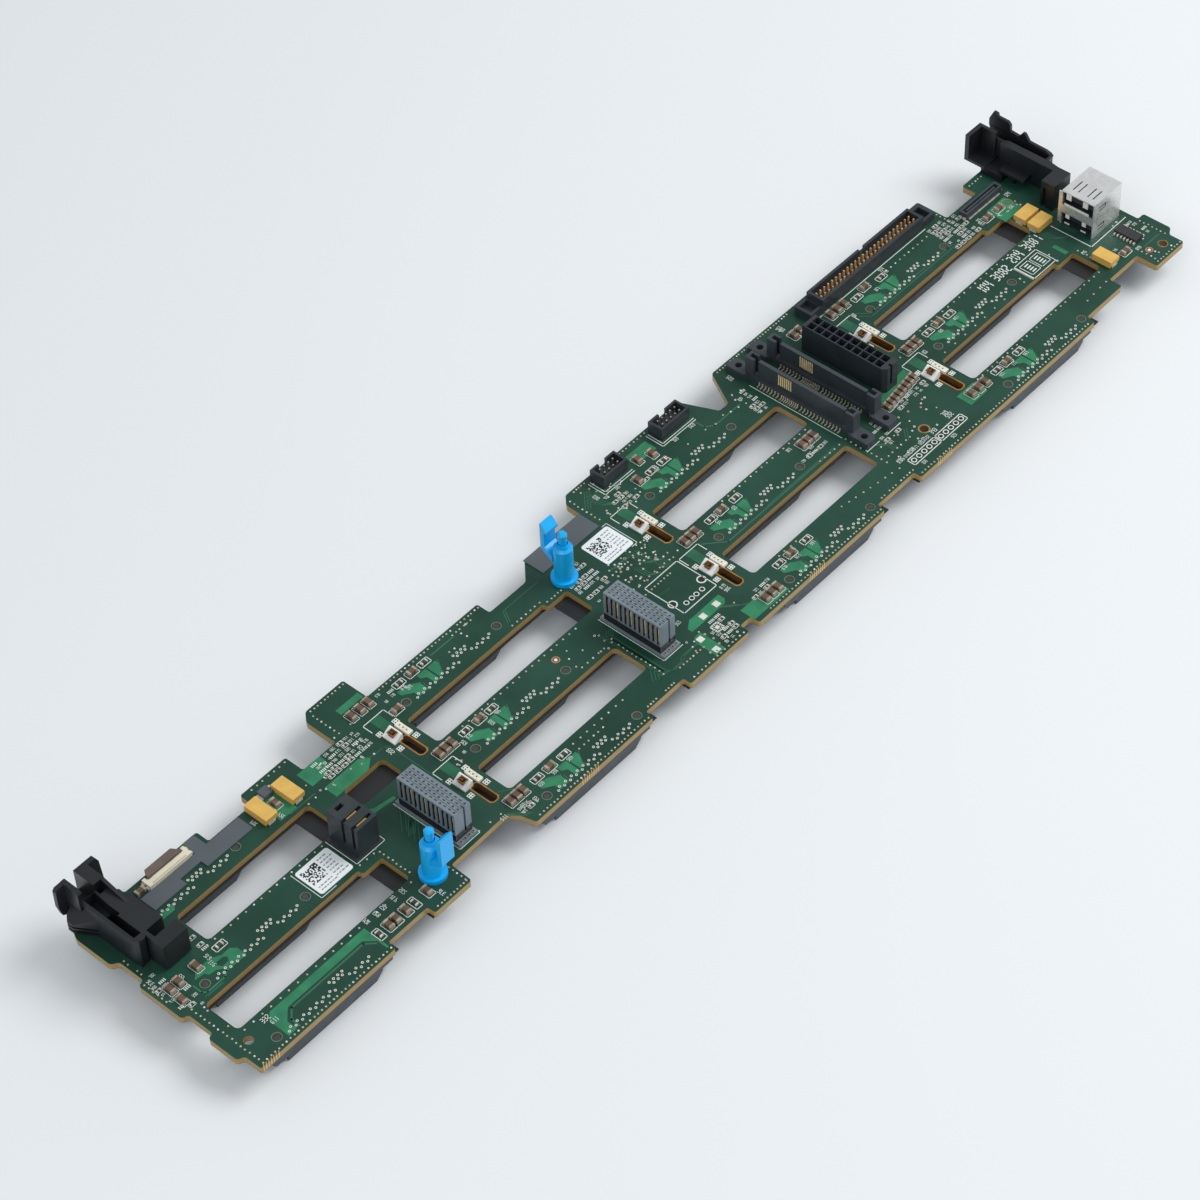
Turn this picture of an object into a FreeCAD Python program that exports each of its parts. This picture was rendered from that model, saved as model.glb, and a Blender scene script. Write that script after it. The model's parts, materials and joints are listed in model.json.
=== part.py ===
import FreeCAD, Part
import math
import os
import Sketcher

# Drive backplane board of a twelve-bay server.
# +X runs along the board, +Y to its back edge, +Z up.
# The origin is under the middle of the board, on the plane it rests on.

doc = FreeCAD.newDocument("DriveBackplane")
sheet = doc.addObject("Spreadsheet::Sheet", "Spec")

# Board and bays
BOARD_SIZES = (
    ("board_thick", 2.35),
    ("column_pitch", 108.3),
    ("row_pitch", 27.42),
    ("edge_left", -12.15),
    ("edge_right", 417.5),
    ("edge_front", -4.05),
    ("edge_back", 74.9),
    ("edge_step", 2.2),
    ("front_step", 3.0),
    ("back_step", 7.8),
    ("corner_bevel", 0.5),
    ("window_front", 9.6),
    ("window_height", 12.9),
    ("window_round", 1.6),
    ("tab_height", 1.8),
    ("slot_width", 3.0),
    ("slot_length", 8.8),
    ("screw_hole", 3.0),
    ("peg_size", 2.2),
    ("peg_gap", 0.2),
    ("peg_spacing", 38.78),
    ("peg_recess", 0.6),
)

# Drive receptacles under the board
BAY_SIZES = (
    ("bay_height", 8.85),
    ("bay_width", 5.8),
    ("bay_front", -1.5),
    ("bay_left", -4.0),
    ("bay_right", 42.6),
    ("bay_mouth_left", 1.6),
    ("bay_mouth_right", 36.0),
    ("bay_taper", 2.6),
    ("bay_step", 1.9),
    ("bay_end_height", 5.6),
    ("bay_slot_length", 31.5),
    ("bay_slot_width", 2.0),
    ("bay_slot_depth", 6.2),
    ("film_thick", 0.3),
    ("film_gap", 0.35),
    ("film_inset", 0.5),
    ("cover_thick", 0.4),
)

# Power header and ribbon header
HEADER_SIZES = (
    ("power_x", 296.6),
    ("power_y", 26.9),
    ("power_width", 6.4),
    ("power_length", 33.2),
    ("power_height", 10.2),
    ("power_pitch", 3.0),
    ("power_cell", 2.6),
    ("power_depth", 8.4),
    ("power_bevel", 1.3),
    ("power_first", 3.6),
    ("ribbon_x", 308.2),
    ("ribbon_y", 65.6),
    ("ribbon_length", 64.1),
    ("ribbon_width", 6.8),
    ("ribbon_height", 5.0),
    ("ribbon_end_height", 2.8),
    ("ribbon_key", 2.5),
    ("ribbon_wall", 1.0),
    ("ribbon_floor", 1.6),
    ("ribbon_end", 5.9),
    ("ribbon_pitch", 2.0),
    ("pin_size", 0.5),
    ("pin_height", 4.2),
    ("mini_x", 210.0),
    ("mini_gap", 27.2),
    ("mini_y", 67.5),
    ("mini_length", 11.0),
    ("mini_extra", 2.0),
    ("mini_width", 5.8),
    ("mini_height", 4.5),
    ("mini_wall", 0.8),
    ("mini_key", 3.3),
)

# Link sockets, drive plugs and the blade socket
SOCKET_SIZES = (
    ("link_x", 78.6),
    ("link_y", 6.0),
    ("link_shift_x", 89.9),
    ("link_shift_y", 1.9),
    ("link_base_width", 7.4),
    ("link_base_length", 25.0),
    ("link_base_height", 4.2),
    ("link_width", 6.6),
    ("link_length", 22.0),
    ("link_height", 12.6),
    ("link_pitch", 1.78),
    ("link_comb_shift", 0.3),
    ("link_groove", 1.05),
    ("link_groove_depth", 1.6),
    ("link_contact", 0.6),
    ("plug_x", 276.5),
    ("plug_y", 19.0),
    ("plug_shift", 10.6),
    ("plug_holes", 50.4),
    ("plug_hole", 2.3),
    ("plug_base", 2.2),
    ("plug_ear_width", 5.0),
    ("plug_height", 9.0),
    ("plug_post", 3.4),
    ("plug_blade", 1.3),
    ("plug_blade_height", 8.2),
    ("plug_blade_length", 34.6),
    ("plug_pitch", 0.8),
    ("blade_x", 58.0),
    ("blade_y", 24.9),
    ("blade_width", 8.0),
    ("blade_length", 11.9),
    ("blade_height", 12.0),
    ("blade_slot", 1.0),
    ("blade_slit", 7.2),
    ("blade_reach", 3.8),
    ("blade_top", 11.5),
    ("blade_pitch", 3.9),
)

# Double-deck receptacle, slim connector and flat-cable connector
PORT_SIZES = (
    ("port_x", 396.7),
    ("port_y", 19.8),
    ("port_depth", 15.2),
    ("port_width", 12.9),
    ("port_height", 14.0),
    ("port_wall", 0.4),
    ("port_low_floor", 0.3),
    ("port_low_top", 5.1),
    ("port_high_floor", 8.2),
    ("port_back", 10.5),
    ("port_lip", 1.0),
    ("port_tail", 0.8),
    ("port_slit", 0.45),
    ("slim_x", 378.4),
    ("slim_y", 56.8),
    ("slim_length", 19.0),
    ("slim_width", 3.2),
    ("slim_height", 2.6),
    ("flat_x", 12.8),
    ("flat_y", 61.9),
    ("flat_length", 16.0),
    ("flat_width", 3.6),
    ("flat_height", 1.6),
    ("flat_bar_reach", 1.6),
    ("flat_bar_top", 2.3),
)

# Retention pins, capacitors, chip and light holders
SMALL_SIZES = (
    ("latch_x", 67.25),
    ("latch_y", 5.65),
    ("latch_far_x", 174.3),
    ("latch_far_y", 52.05),
    ("latch_foot", 8.4),
    ("latch_foot_height", 1.4),
    ("latch_body", 6.1),
    ("latch_height", 14.2),
    ("latch_bevel", 0.9),
    ("latch_pin", 3.0),
    ("latch_slip", 0.05),
    ("latch_pin_height", 19.9),
    ("latch_travel", 4.0),
    ("latch_seat", 0.05),
    ("tab_width", 5.0),
    ("tab_reach", 6.7),
    ("tab_thick", 1.5),
    ("tab_top", 21.0),
    ("tab_foot", 10.7),
    ("block_height", 2.8),
    ("block_shoe", 1.1),
    ("chip_height", 1.5),
    ("light_width", 3.4),
    ("light_length", 5.0),
    ("light_height", 2.3),
    ("light_low", 0.5),
    ("cap_width", 1.8),
    ("cap_length", 3.3),
    ("cap_height", 1.3),
    ("cap_pitch", 2.65),
)

# Guide brackets at the two ends of the board
BRACKET_SIZES = (
    ("bracket_sum", 405.4),
    ("bracket_low", 10.4),
    ("bracket_high", 15.5),
    ("bracket_flange", 13.1),
    ("bracket_back", 74.8),
    ("bracket_wall", 1.1),
    ("bracket_floor", 2.4),
    ("bracket_outer", -7.4),
    ("bracket_inner", -3.8),
    ("bracket_nose", 44.5),
    ("bracket_front", 38.2),
    ("bracket_block", 4.6),
)


class Size:
    """A length together with the sheet expression that gives it."""

    def __init__(self, value, text):
        self.value = value
        self.text = text

    def __add__(self, other):
        other = as_size(other)
        return Size(self.value + other.value, f"({self.text} + {other.text})")

    def __radd__(self, other):
        return as_size(other) + self

    def __sub__(self, other):
        other = as_size(other)
        return Size(self.value - other.value, f"({self.text} - {other.text})")

    def __rsub__(self, other):
        return as_size(other) - self

    def __mul__(self, factor):
        factor = as_size(factor)
        return Size(self.value * factor.value, f"({self.text} * {factor.text})")

    def __rmul__(self, factor):
        return self * factor

    def __truediv__(self, factor):
        factor = as_size(factor)
        return Size(self.value / factor.value, f"({self.text} / {factor.text})")

    def __neg__(self):
        return self * -1


def as_size(number):
    """Wraps a plain number so that it can be used beside named sizes."""
    if isinstance(number, Size):
        return number
    return Size(float(number), f"({float(number):.6g})")


class Sizes:
    """The named sizes of the sheet, one attribute each."""


s = Sizes()
row = 1
for group in (BOARD_SIZES, BAY_SIZES, HEADER_SIZES, SOCKET_SIZES, PORT_SIZES, SMALL_SIZES,
              BRACKET_SIZES):
    for alias, value in group:
        sheet.set(f"A{row}", alias)
        sheet.set(f"B{row}", str(value))
        sheet.setAlias(f"B{row}", alias)
        setattr(s, alias, Size(value, f"Spec.{alias}"))
        row += 1
doc.recompute()

# Board datum: the low peg of the first column's front row, on the board's top face
shift_x = (s.edge_left + s.edge_right) / -2
shift_y = (s.edge_front + s.edge_back) / -2
top = s.bay_height + s.board_thick

parts = []


def tie(obj, prop, size):
    """Binds one property of an object to the sheet."""
    obj.setExpression(prop, as_size(size).text)


def seat(obj, x=0, y=0, z=0, name=None, turn=None):
    """Places a finished piece from the board datum and keeps it as a sub-part."""
    obj.Placement = FreeCAD.Placement(
        FreeCAD.Vector(0, 0, 0), FreeCAD.Rotation(FreeCAD.Vector(0, 0, 1), turn or 0))
    tie(obj, "Placement.Base.x", shift_x + x)
    tie(obj, "Placement.Base.y", shift_y + y)
    tie(obj, "Placement.Base.z", top + z)
    obj.Label = name
    parts.append(obj)


def block(x, y, z, length, width, height):
    """A rectangular block from its low corner and its three sides."""
    obj = doc.addObject("Part::Box", "Block")
    for prop, size in (("Length", length), ("Width", width), ("Height", height),
                       ("Placement.Base.x", x), ("Placement.Base.y", y),
                       ("Placement.Base.z", z)):
        tie(obj, prop, size)
    return obj


def joined(*pieces):
    """One solid made of overlapping or touching pieces."""
    obj = doc.addObject("Part::MultiFuse", "Joined")
    obj.Shapes = list(pieces)
    obj.Refine = True
    return obj


def without(base, *tools):
    """The base solid with the tools taken away."""
    obj = doc.addObject("Part::Cut", "Cutout")
    obj.Base = base
    obj.Tool = tools[0] if len(tools) == 1 else grouped(*tools)
    return obj


def grouped(*pieces):
    """Several solids kept side by side."""
    obj = doc.addObject("Part::Compound", "Set")
    obj.Links = list(pieces)
    return obj


def new_body(name):
    body = doc.addObject("PartDesign::Body", name)
    return body


def sketch_on(body, role, lift=None):
    """A sketch on one of the body's own origin planes, at a height above it."""
    plane = next(f for f in body.Origin.OriginFeatures if f.Role == role)
    sketch = body.newObject("Sketcher::SketchObject", "Sketch")
    sketch.AttachmentSupport = [(plane, "")]
    sketch.MapMode = "FlatFace"
    if lift is not None:
        tie(sketch, "AttachmentOffset.Base.z", lift)
    return sketch


def loop(sketch, points):
    """A closed loop of straight sides with every corner tied to the sheet."""
    corners = [(as_size(x), as_size(y)) for x, y in points]
    first = sketch.GeometryCount
    count = len(corners)
    lines = []
    for index in range(count):
        x0, y0 = corners[index]
        x1, y1 = corners[(index + 1) % count]
        lines.append(Part.LineSegment(FreeCAD.Vector(x0.value, y0.value, 0),
                                      FreeCAD.Vector(x1.value, y1.value, 0)))
    sketch.addGeometry(lines, False)
    links = []
    for index in range(count):
        links.append(Sketcher.Constraint("Coincident", first + index, 2,
                                         first + (index + 1) % count, 1))
    for index, (x, y) in enumerate(corners):
        links.append(Sketcher.Constraint("DistanceX", -1, 1, first + index, 1, x.value))
        links.append(Sketcher.Constraint("DistanceY", -1, 1, first + index, 1, y.value))
    start = sketch.ConstraintCount + count
    sketch.addConstraint(links)
    for index, (x, y) in enumerate(corners):
        sketch.setExpression(f"Constraints[{start + 2 * index}]", x.text)
        sketch.setExpression(f"Constraints[{start + 2 * index + 1}]", y.text)


def ring(sketch, x, y, radius):
    """A circle with its middle and its radius tied to the sheet."""
    x, y, radius = as_size(x), as_size(y), as_size(radius)
    index = sketch.GeometryCount
    sketch.addGeometry(Part.Circle(FreeCAD.Vector(x.value, y.value, 0),
                                   FreeCAD.Vector(0, 0, 1), radius.value), False)
    start = sketch.ConstraintCount
    sketch.addConstraint([
        Sketcher.Constraint("DistanceX", -1, 1, index, 3, x.value),
        Sketcher.Constraint("DistanceY", -1, 1, index, 3, y.value),
        Sketcher.Constraint("Radius", index, radius.value)])
    for offset, size in enumerate((x, y, radius)):
        sketch.setExpression(f"Constraints[{start + offset}]", size.text)


def rectangle(x, y, length, width):
    """The four corners of a rectangle."""
    return [(x, y), (x + length, y), (x + length, y + width), (x, y + width)]


def pad(body, sketch, height, down=False):
    feature = body.newObject("PartDesign::Pad", "Pad")
    feature.Profile = sketch
    feature.Reversed = down
    tie(feature, "Length", height)
    return feature


def pocket(body, sketch, depth, up=False):
    """Cuts below the sketch, or above it, and checks that something was removed."""
    doc.recompute()
    before = body.Shape.Volume
    feature = body.newObject("PartDesign::Pocket", "Pocket")
    feature.Profile = sketch
    feature.Reversed = up
    tie(feature, "Length", depth)
    doc.recompute()
    if body.Shape.Volume > before - 1e-6:
        raise ValueError(f"{body.Name}: a pocket removes nothing")
    return feature


def row_of(body, feature, role, pitch, count):
    """Repeats a feature along an axis of the body, at a pitch."""
    pattern = body.newObject("PartDesign::LinearPattern", "Row")
    pattern.Originals = [feature]
    axis = next(f for f in body.Origin.OriginFeatures if f.Role == role)
    pattern.Direction = (axis, [""])
    pattern.Mode = "Spacing"
    pattern.Occurrences = count
    tie(pattern, "Offset", pitch)
    body.Tip = pattern
    return pattern


def polygon(x, y, radius, sides):
    """The corners of a regular polygon."""
    turns = [2 * math.pi * index / sides for index in range(sides)]
    return [(x + math.cos(turn) * radius, y + math.sin(turn) * radius) for turn in turns]


def upright_edges(body, spots):
    """Names of the body's upright edges that stand over the given spots."""
    doc.recompute()
    base = body.Tip
    names = []
    for x, y in spots:
        best = None
        for index, edge in enumerate(base.Shape.Edges):
            ends = [v.Point for v in edge.Vertexes]
            if len(ends) != 2 or math.hypot(ends[0].x - ends[1].x, ends[0].y - ends[1].y) > 1e-6:
                continue
            off = math.hypot(ends[0].x - as_size(x).value, ends[0].y - as_size(y).value)
            if off < 0.05 and best is None:
                best = f"Edge{index + 1}"
        if best is not None:
            names.append(best)
    return base, names


def rounded(body, spots, radius):
    """Rounds the upright edges that stand over the given spots."""
    edges = upright_edges(body, spots)
    feature = body.newObject("PartDesign::Fillet", "Rounds")
    feature.Base = edges
    tie(feature, "Radius", radius)
    return feature


def bevelled(body, spots, size):
    """Bevels the upright edges that stand over the given spots."""
    edges = upright_edges(body, spots)
    feature = body.newObject("PartDesign::Chamfer", "Bevels")
    feature.Base = edges
    tie(feature, "Size", size)
    return feature


# Circuit board: stepped outline, ventilation windows, milled slots and holes
board = new_body("Board")
base = sketch_on(board, "XY_Plane")
front = s.edge_front
back = s.edge_back
left = s.edge_left
right = s.edge_right
step = s.edge_step
notch = s.front_step
column = s.column_pitch
mid = back - s.back_step
tail = s.edge_right - 3
outline = [
    (left + step, front), (42, front), (42, front + notch), (57.7, front + notch),
    (57.7, front), (72.4, front), (72.8, front + 8), (96.2, front + 8.5),
    (98.2, front + 5), (99.4, front),
    (column + 41.5, front), (column + 41.5, front + notch), (column + 58.2, front + notch),
    (column + 58.2, front), (column + 84.6, front), (column + 84.6, front + 3.5),
    (column + 89.4, front + 3.5), (column + 89.4, front),
    (2 * column + 40.9, front), (2 * column + 40.9, front + notch),
    (2 * column + 58.9, front + notch), (2 * column + 58.9, front),
    (3 * column + 40.6, front), (3 * column + 40.6, front + notch + 0.2),
    (3 * column + 59.6, front + notch + 0.2), (3 * column + 59.6, front + 8),
    (3 * column + 74.6, front + 8), (3 * column + 74.6, front), (tail, front),
    (tail, 1.6), (right, 3.3), (right, 14), (tail, 14), (tail, mid + 1.3),
    (3 * column + 66.4, mid + 1.3), (3 * column + 66.4, mid - 4.5),
    (3 * column + 50.6, mid - 4.5), (3 * column + 50.6, back),
    (2 * column + 53.3, back), (2 * column + 46.3, back - 12.7),
    (2 * column + 42, back - 12.7), (2 * column + 36.6, back), (column + 92.1, back),
    (column + 89.1, back - 3), (column + 89.1, mid - 1), (column + 63.7, mid - 1),
    (column + 57.4, mid - 7.1), (column + 41.5, mid - 7.1), (column + 41.5, mid - 2),
    (102.6, mid - 2), (102.6, back), (87, back), (84.3, back - 3), (84.3, mid - 7.1),
    (70.9, mid - 7.1), (70.9, mid), (52.6, mid), (52.6, mid - 4.9), (35.4, mid - 4.9),
    (35.4, mid), (7.5, mid), (7.5, mid + 2.6), (left + step, mid + 2.6), (left, mid - 1.6),
    (left, 52.1), (left + step, 50.6), (left + step, 41.3), (left, 40.6), (left, 24),
    (left + 2, 23.4), (left + 2, 14.2), (left, 13.7), (left, 3), (left + step, 2)]
loop(base, outline)
pad(board, base, s.board_thick, down=True)
bevelled(board, outline, s.corner_bevel)
window_top = s.window_front + s.window_height
upper = s.row_pitch + s.window_front + 0.2
openings = sketch_on(board, "XY_Plane")
window_loops = [
    [(-5.1, s.window_front), (62.2, s.window_front), (62.2, window_top - s.tab_height),
     (54.7, window_top - s.tab_height), (54.7, window_top), (-5.1, window_top)],
    rectangle(as_size(10.8), upper, 52, s.window_height),
    rectangle(as_size(72.4), s.row_pitch + 10, 16.2, 8.3),
    rectangle(as_size(103.2), s.window_front, 59.8, s.window_height),
    [(103.2, upper), (171, upper), (171, upper + s.window_height - s.tab_height),
     (162.5, upper + s.window_height - s.tab_height), (162.5, upper + s.window_height),
     (103.2, upper + s.window_height)],
    rectangle(2 * column - 5.1, s.window_front, 60.3, s.window_height),
    rectangle(2 * column - 5.1, upper, 60.3, s.window_height),
    [(3 * column - 5.1, s.window_front), (3 * column + 62.8, s.window_front),
     (3 * column + 62.8, window_top - s.tab_height),
     (3 * column + 54.7, window_top - s.tab_height), (3 * column + 54.7, window_top),
     (3 * column - 5.1, window_top)],
    [(3 * column - 5.1, upper), (3 * column + 63.3, upper),
     (3 * column + 63.3, upper + s.window_height - s.tab_height),
     (3 * column + 53.6, upper + s.window_height - s.tab_height),
     (3 * column + 53.6, upper + s.window_height), (3 * column - 5.1, upper + s.window_height)]]
for window in window_loops:
    loop(openings, window)
pocket(board, openings, s.board_thick)
corners = [spot for window in window_loops
           for spot in (window if len(window) == 4 else window[:2] + window[5:])]
rounded(board, corners, s.window_round)
corners = [spot for window in window_loops if len(window) == 6 for spot in window[2:5]]
bevelled(board, corners, s.corner_bevel)
slots = sketch_on(board, "XY_Plane")
for number in (1, 2, 3):
    for low in (as_size(10.1), s.row_pitch + 10.2):
        middle = number * column - 10.4
        x0 = middle - s.slot_width / 2
        cut = s.slot_width / 4
        y1 = low + s.slot_length
        loop(slots, [(x0 + cut, low), (x0 + 3 * cut, low), (x0 + 4 * cut, low + cut),
                     (x0 + 4 * cut, y1 - cut), (x0 + 3 * cut, y1), (x0 + cut, y1),
                     (x0, y1 - cut), (x0, low + cut)])
pocket(board, slots, s.board_thick)
holes = sketch_on(board, "XY_Plane")
for x, y, radius in ((-5.6, 5.1, s.screw_hole / 2), (3 * column - 32.4, 8.1, s.screw_hole / 2),
                     (3 * column + 84.6, 0.7, s.screw_hole / 2),
                     (3 * column + 69.1, 52, s.screw_hole / 2),
                     (column + 78.4, 20.2, as_size(1.1)), (column + 91.6, 20.2, as_size(1.1))):
    ring(holes, x, y, radius)
for number in range(4):
    for level in range(3):
        for far in (0, 1):
            loop(holes, polygon(number * column + far * s.peg_spacing, level * s.row_pitch,
                                s.peg_size / 2 + s.peg_gap, 8))
pocket(board, holes, s.board_thick)
seat(board, name="circuit_board")

# Insulating film under the board, open round each receptacle and narrower at the windows
film = new_body("Film")
base = sketch_on(film, "XY_Plane")
rim = s.film_gap
shore = front + s.film_inset
cove = shore + notch
loop(base, [
    (left + 3, shore), (43.4, shore), (43.4, cove), (57.2, cove), (57.2, shore), (71.9, shore),
    (72.3, shore + 8), (96.4, shore + 8.5), (98.7, shore + 5), (99.9, shore),
    (column + 43.4, shore), (column + 43.4, cove), (column + 57.7, cove),
    (column + 57.7, shore), (column + 84.1, shore), (column + 84.1, shore + 3.5),
    (column + 89.9, shore + 3.5), (column + 89.9, shore),
    (2 * column + 43.4, shore), (2 * column + 43.4, cove), (2 * column + 58.4, cove),
    (2 * column + 58.4, shore), (3 * column + 43.4, shore), (3 * column + 43.4, cove),
    (3 * column + 59.1, cove), (3 * column + 59.1, shore + 8), (3 * column + 75.1, shore + 8),
    (3 * column + 75.1, shore), (tail - 8, shore), (tail - 8, mid - 6.6),
    (column + 57.9, mid - 6.6), (column + 57.9, mid - 7.6), (column + 43.4, mid - 7.6),
    (column + 43.4, mid - 6.6), (84.8, mid - 6.6), (84.8, mid - 7.6), (70.4, mid - 7.6),
    (70.4, mid - 6.6), (left + 3, mid - 6.6)])
for number in range(4):
    for level in range(3):
        x0 = number * column + s.bay_left - rim
        x1 = number * column + s.bay_right + rim
        y0 = level * s.row_pitch + s.bay_front - rim
        y1 = y0 + s.bay_width + 2 * rim
        if number or level:
            loop(base, [(x0, y0), (x1, y0), (x1, y1), (x0, y1)])
        else:
            loop(base, [(left + 4.2, y0), (x1, y0), (x1, y1), (-2.9, y1), (-2.9, 7.6),
                        (left + 4.2, 7.6)])
    for low in (s.window_front, upper):
        start = -4.5 if number or low is s.window_front else 11.4
        loop(base, rectangle(number * column + start, low + 0.5, 57.0 - start,
                             s.window_height - 1.2))
for x, y in ((3 * column - 32.4, 8.1), (3 * column + 69.1, 52)):
    ring(base, x, y, s.screw_hole / 2 + 0.8)
pad(film, base, s.film_thick, down=True)
seat(film, z=-s.board_thick, name="insulating_film")

# Drive receptacles: a stepped moulding with a long slot on the mating side and two pegs
for number in range(4):
    for level in range(3):
        bay = new_body("Bay")
        side = sketch_on(bay, "XZ_Plane", -s.bay_front)
        full = -s.bay_height
        loop(side, [(s.bay_left, 0), (s.bay_left, full + 3.6),
                    (s.bay_left + 1.2, full + s.bay_step), (s.bay_mouth_left, full + s.bay_step),
                    (s.bay_mouth_left, full), (s.bay_mouth_right, full),
                    (s.bay_mouth_right + s.bay_taper, full + s.bay_taper),
                    (s.bay_mouth_right + s.bay_taper, -s.bay_end_height),
                    (s.bay_right, -s.bay_end_height), (s.bay_right, 0)])
        pad(bay, side, s.bay_width, down=True)
        mouth = sketch_on(bay, "XY_Plane", full)
        slot_y = s.bay_front + s.bay_width / 2 - s.bay_slot_width / 2
        slot_x = s.bay_mouth_left + 1.2
        loop(mouth, [(slot_x, slot_y - 1), (slot_x + 1.6, slot_y - 1), (slot_x + 1.6, slot_y),
                     (slot_x + s.bay_slot_length, slot_y),
                     (slot_x + s.bay_slot_length, slot_y + s.bay_slot_width),
                     (slot_x, slot_y + s.bay_slot_width)])
        pocket(bay, mouth, s.bay_slot_depth, up=True)
        pegs = sketch_on(bay, "XY_Plane")
        for far in (0, 1):
            loop(pegs, polygon(far * s.peg_spacing, 0, s.peg_size / 2, 6))
        pad(bay, pegs, s.board_thick - s.peg_recess)
        seat(bay, number * column, level * s.row_pitch, -s.board_thick,
             f"bay_connector_c{number + 1}_r{3 - level}")

# Power header: two rows of deep square cells in a block with two bevelled corners
power = new_body("Power")
base = sketch_on(power, "XY_Plane")
bevel = s.power_bevel
loop(base, [(bevel, 0), (s.power_width, 0), (s.power_width, s.power_length),
            (0, s.power_length), (0, bevel)])
pad(power, base, s.power_height)
cells = sketch_on(power, "XY_Plane", s.power_height)
for far in (0, 1):
    x = s.power_width / 2 + (far - 0.5) * s.power_pitch - s.power_cell / 2
    loop(cells, rectangle(x, s.power_first - s.power_cell / 2, s.power_cell, s.power_cell))
cell = pocket(power, cells, s.power_depth)
row_of(power, cell, "Y_Axis", s.power_pitch, 10)
latch = sketch_on(power, "XY_Plane", s.power_height)
loop(latch, rectangle(s.power_width / 2 - 0.5, as_size(-0.1), 1.0, 1.2))
pocket(power, latch, s.power_height - 2.4)
seat(power, s.power_x, s.power_y, 0, "power_header")

# Ribbon header: long shroud with a key gap in its back wall, and a low latch frame at each end
ribbon = new_body("Ribbon")
base = sketch_on(ribbon, "XY_Plane")
loop(base, rectangle(as_size(0), as_size(0), s.ribbon_length, s.ribbon_width))
pad(ribbon, base, s.ribbon_end_height)
inner = s.ribbon_length - 2 * s.ribbon_end
shroud = sketch_on(ribbon, "XY_Plane")
loop(shroud, rectangle(s.ribbon_end, as_size(0), inner, s.ribbon_width))
pad(ribbon, shroud, s.ribbon_height)
trough = sketch_on(ribbon, "XY_Plane", s.ribbon_height)
loop(trough, rectangle(s.ribbon_end + s.ribbon_wall, s.ribbon_wall,
                       inner - 2 * s.ribbon_wall, s.ribbon_width - 2 * s.ribbon_wall))
pocket(ribbon, trough, s.ribbon_height - s.ribbon_floor)
ends = sketch_on(ribbon, "XY_Plane", s.ribbon_end_height)
for start in (s.ribbon_wall, s.ribbon_length - s.ribbon_end + s.ribbon_wall):
    loop(ends, rectangle(start, s.ribbon_wall, s.ribbon_end - 2 * s.ribbon_wall,
                         s.ribbon_width - 2 * s.ribbon_wall))
pocket(ribbon, ends, s.ribbon_end_height - 0.8)
key = sketch_on(ribbon, "XY_Plane", s.ribbon_height)
loop(key, rectangle(s.ribbon_length / 2 + 0.2, s.ribbon_width - 1.5 * s.ribbon_wall,
                    s.ribbon_key, 2 * s.ribbon_wall))
pocket(ribbon, key, s.ribbon_height - s.ribbon_floor)
seat(ribbon, s.ribbon_x, s.ribbon_y, 0, "ribbon_header")


def pin_field(columns, rows, pitch, low, high, across):
    """Square pins on a grid, from one height to another."""
    pins = []
    for i in range(columns):
        for j in range(rows):
            pins.append(Part.makeBox(
                across, across, high - low,
                FreeCAD.Vector(i * pitch - across / 2, j * pitch - across / 2, low)))
    return Part.makeCompound(pins)


ribbon_pins = doc.addObject("Part::Feature", "RibbonPins")
pin_count = int((inner - 2 * s.ribbon_wall).value / s.ribbon_pitch.value)
ribbon_pins.Shape = pin_field(pin_count, 2, s.ribbon_pitch.value, s.ribbon_floor.value,
                              s.pin_height.value, s.pin_size.value)
seat(ribbon_pins, s.ribbon_x + s.ribbon_length / 2 - (pin_count - 1) * s.ribbon_pitch / 2,
     s.ribbon_y + s.ribbon_width / 2 - s.ribbon_pitch / 2, 0, "ribbon_header_pins")

# Two small shrouded headers, the second one pin longer, with a key gap in the back wall
for number in (0, 1):
    length = s.mini_length + number * s.mini_extra
    mini = new_body("Mini")
    base = sketch_on(mini, "XY_Plane")
    loop(base, rectangle(as_size(0), as_size(0), length, s.mini_width))
    pad(mini, base, s.mini_height)
    trough = sketch_on(mini, "XY_Plane", s.mini_height)
    loop(trough, rectangle(s.mini_wall, s.mini_wall, length - 2 * s.mini_wall,
                           s.mini_width - 2 * s.mini_wall))
    pocket(mini, trough, s.mini_height - s.ribbon_floor)
    gaps = sketch_on(mini, "XY_Plane", s.mini_height)
    loop(gaps, rectangle(length / 2 - 2, s.mini_width - 1.5 * s.mini_wall, s.mini_key,
                         2 * s.mini_wall))
    pocket(mini, gaps, s.mini_height - s.ribbon_floor)
    seat(mini, s.mini_x + number * s.mini_gap, s.mini_y, 0, f"small_header_{number + 1}")
    pins = doc.addObject("Part::Feature", "MiniPins")
    pins.Shape = pin_field(4 + number, 2, s.ribbon_pitch.value, s.ribbon_floor.value,
                           s.pin_height.value, s.pin_size.value)
    seat(pins, s.mini_x + number * s.mini_gap + length / 2
         - (3 + number) * s.ribbon_pitch / 2,
         s.mini_y + s.mini_width / 2 - s.ribbon_pitch / 2, 0, f"small_header_pins_{number + 1}")

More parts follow.
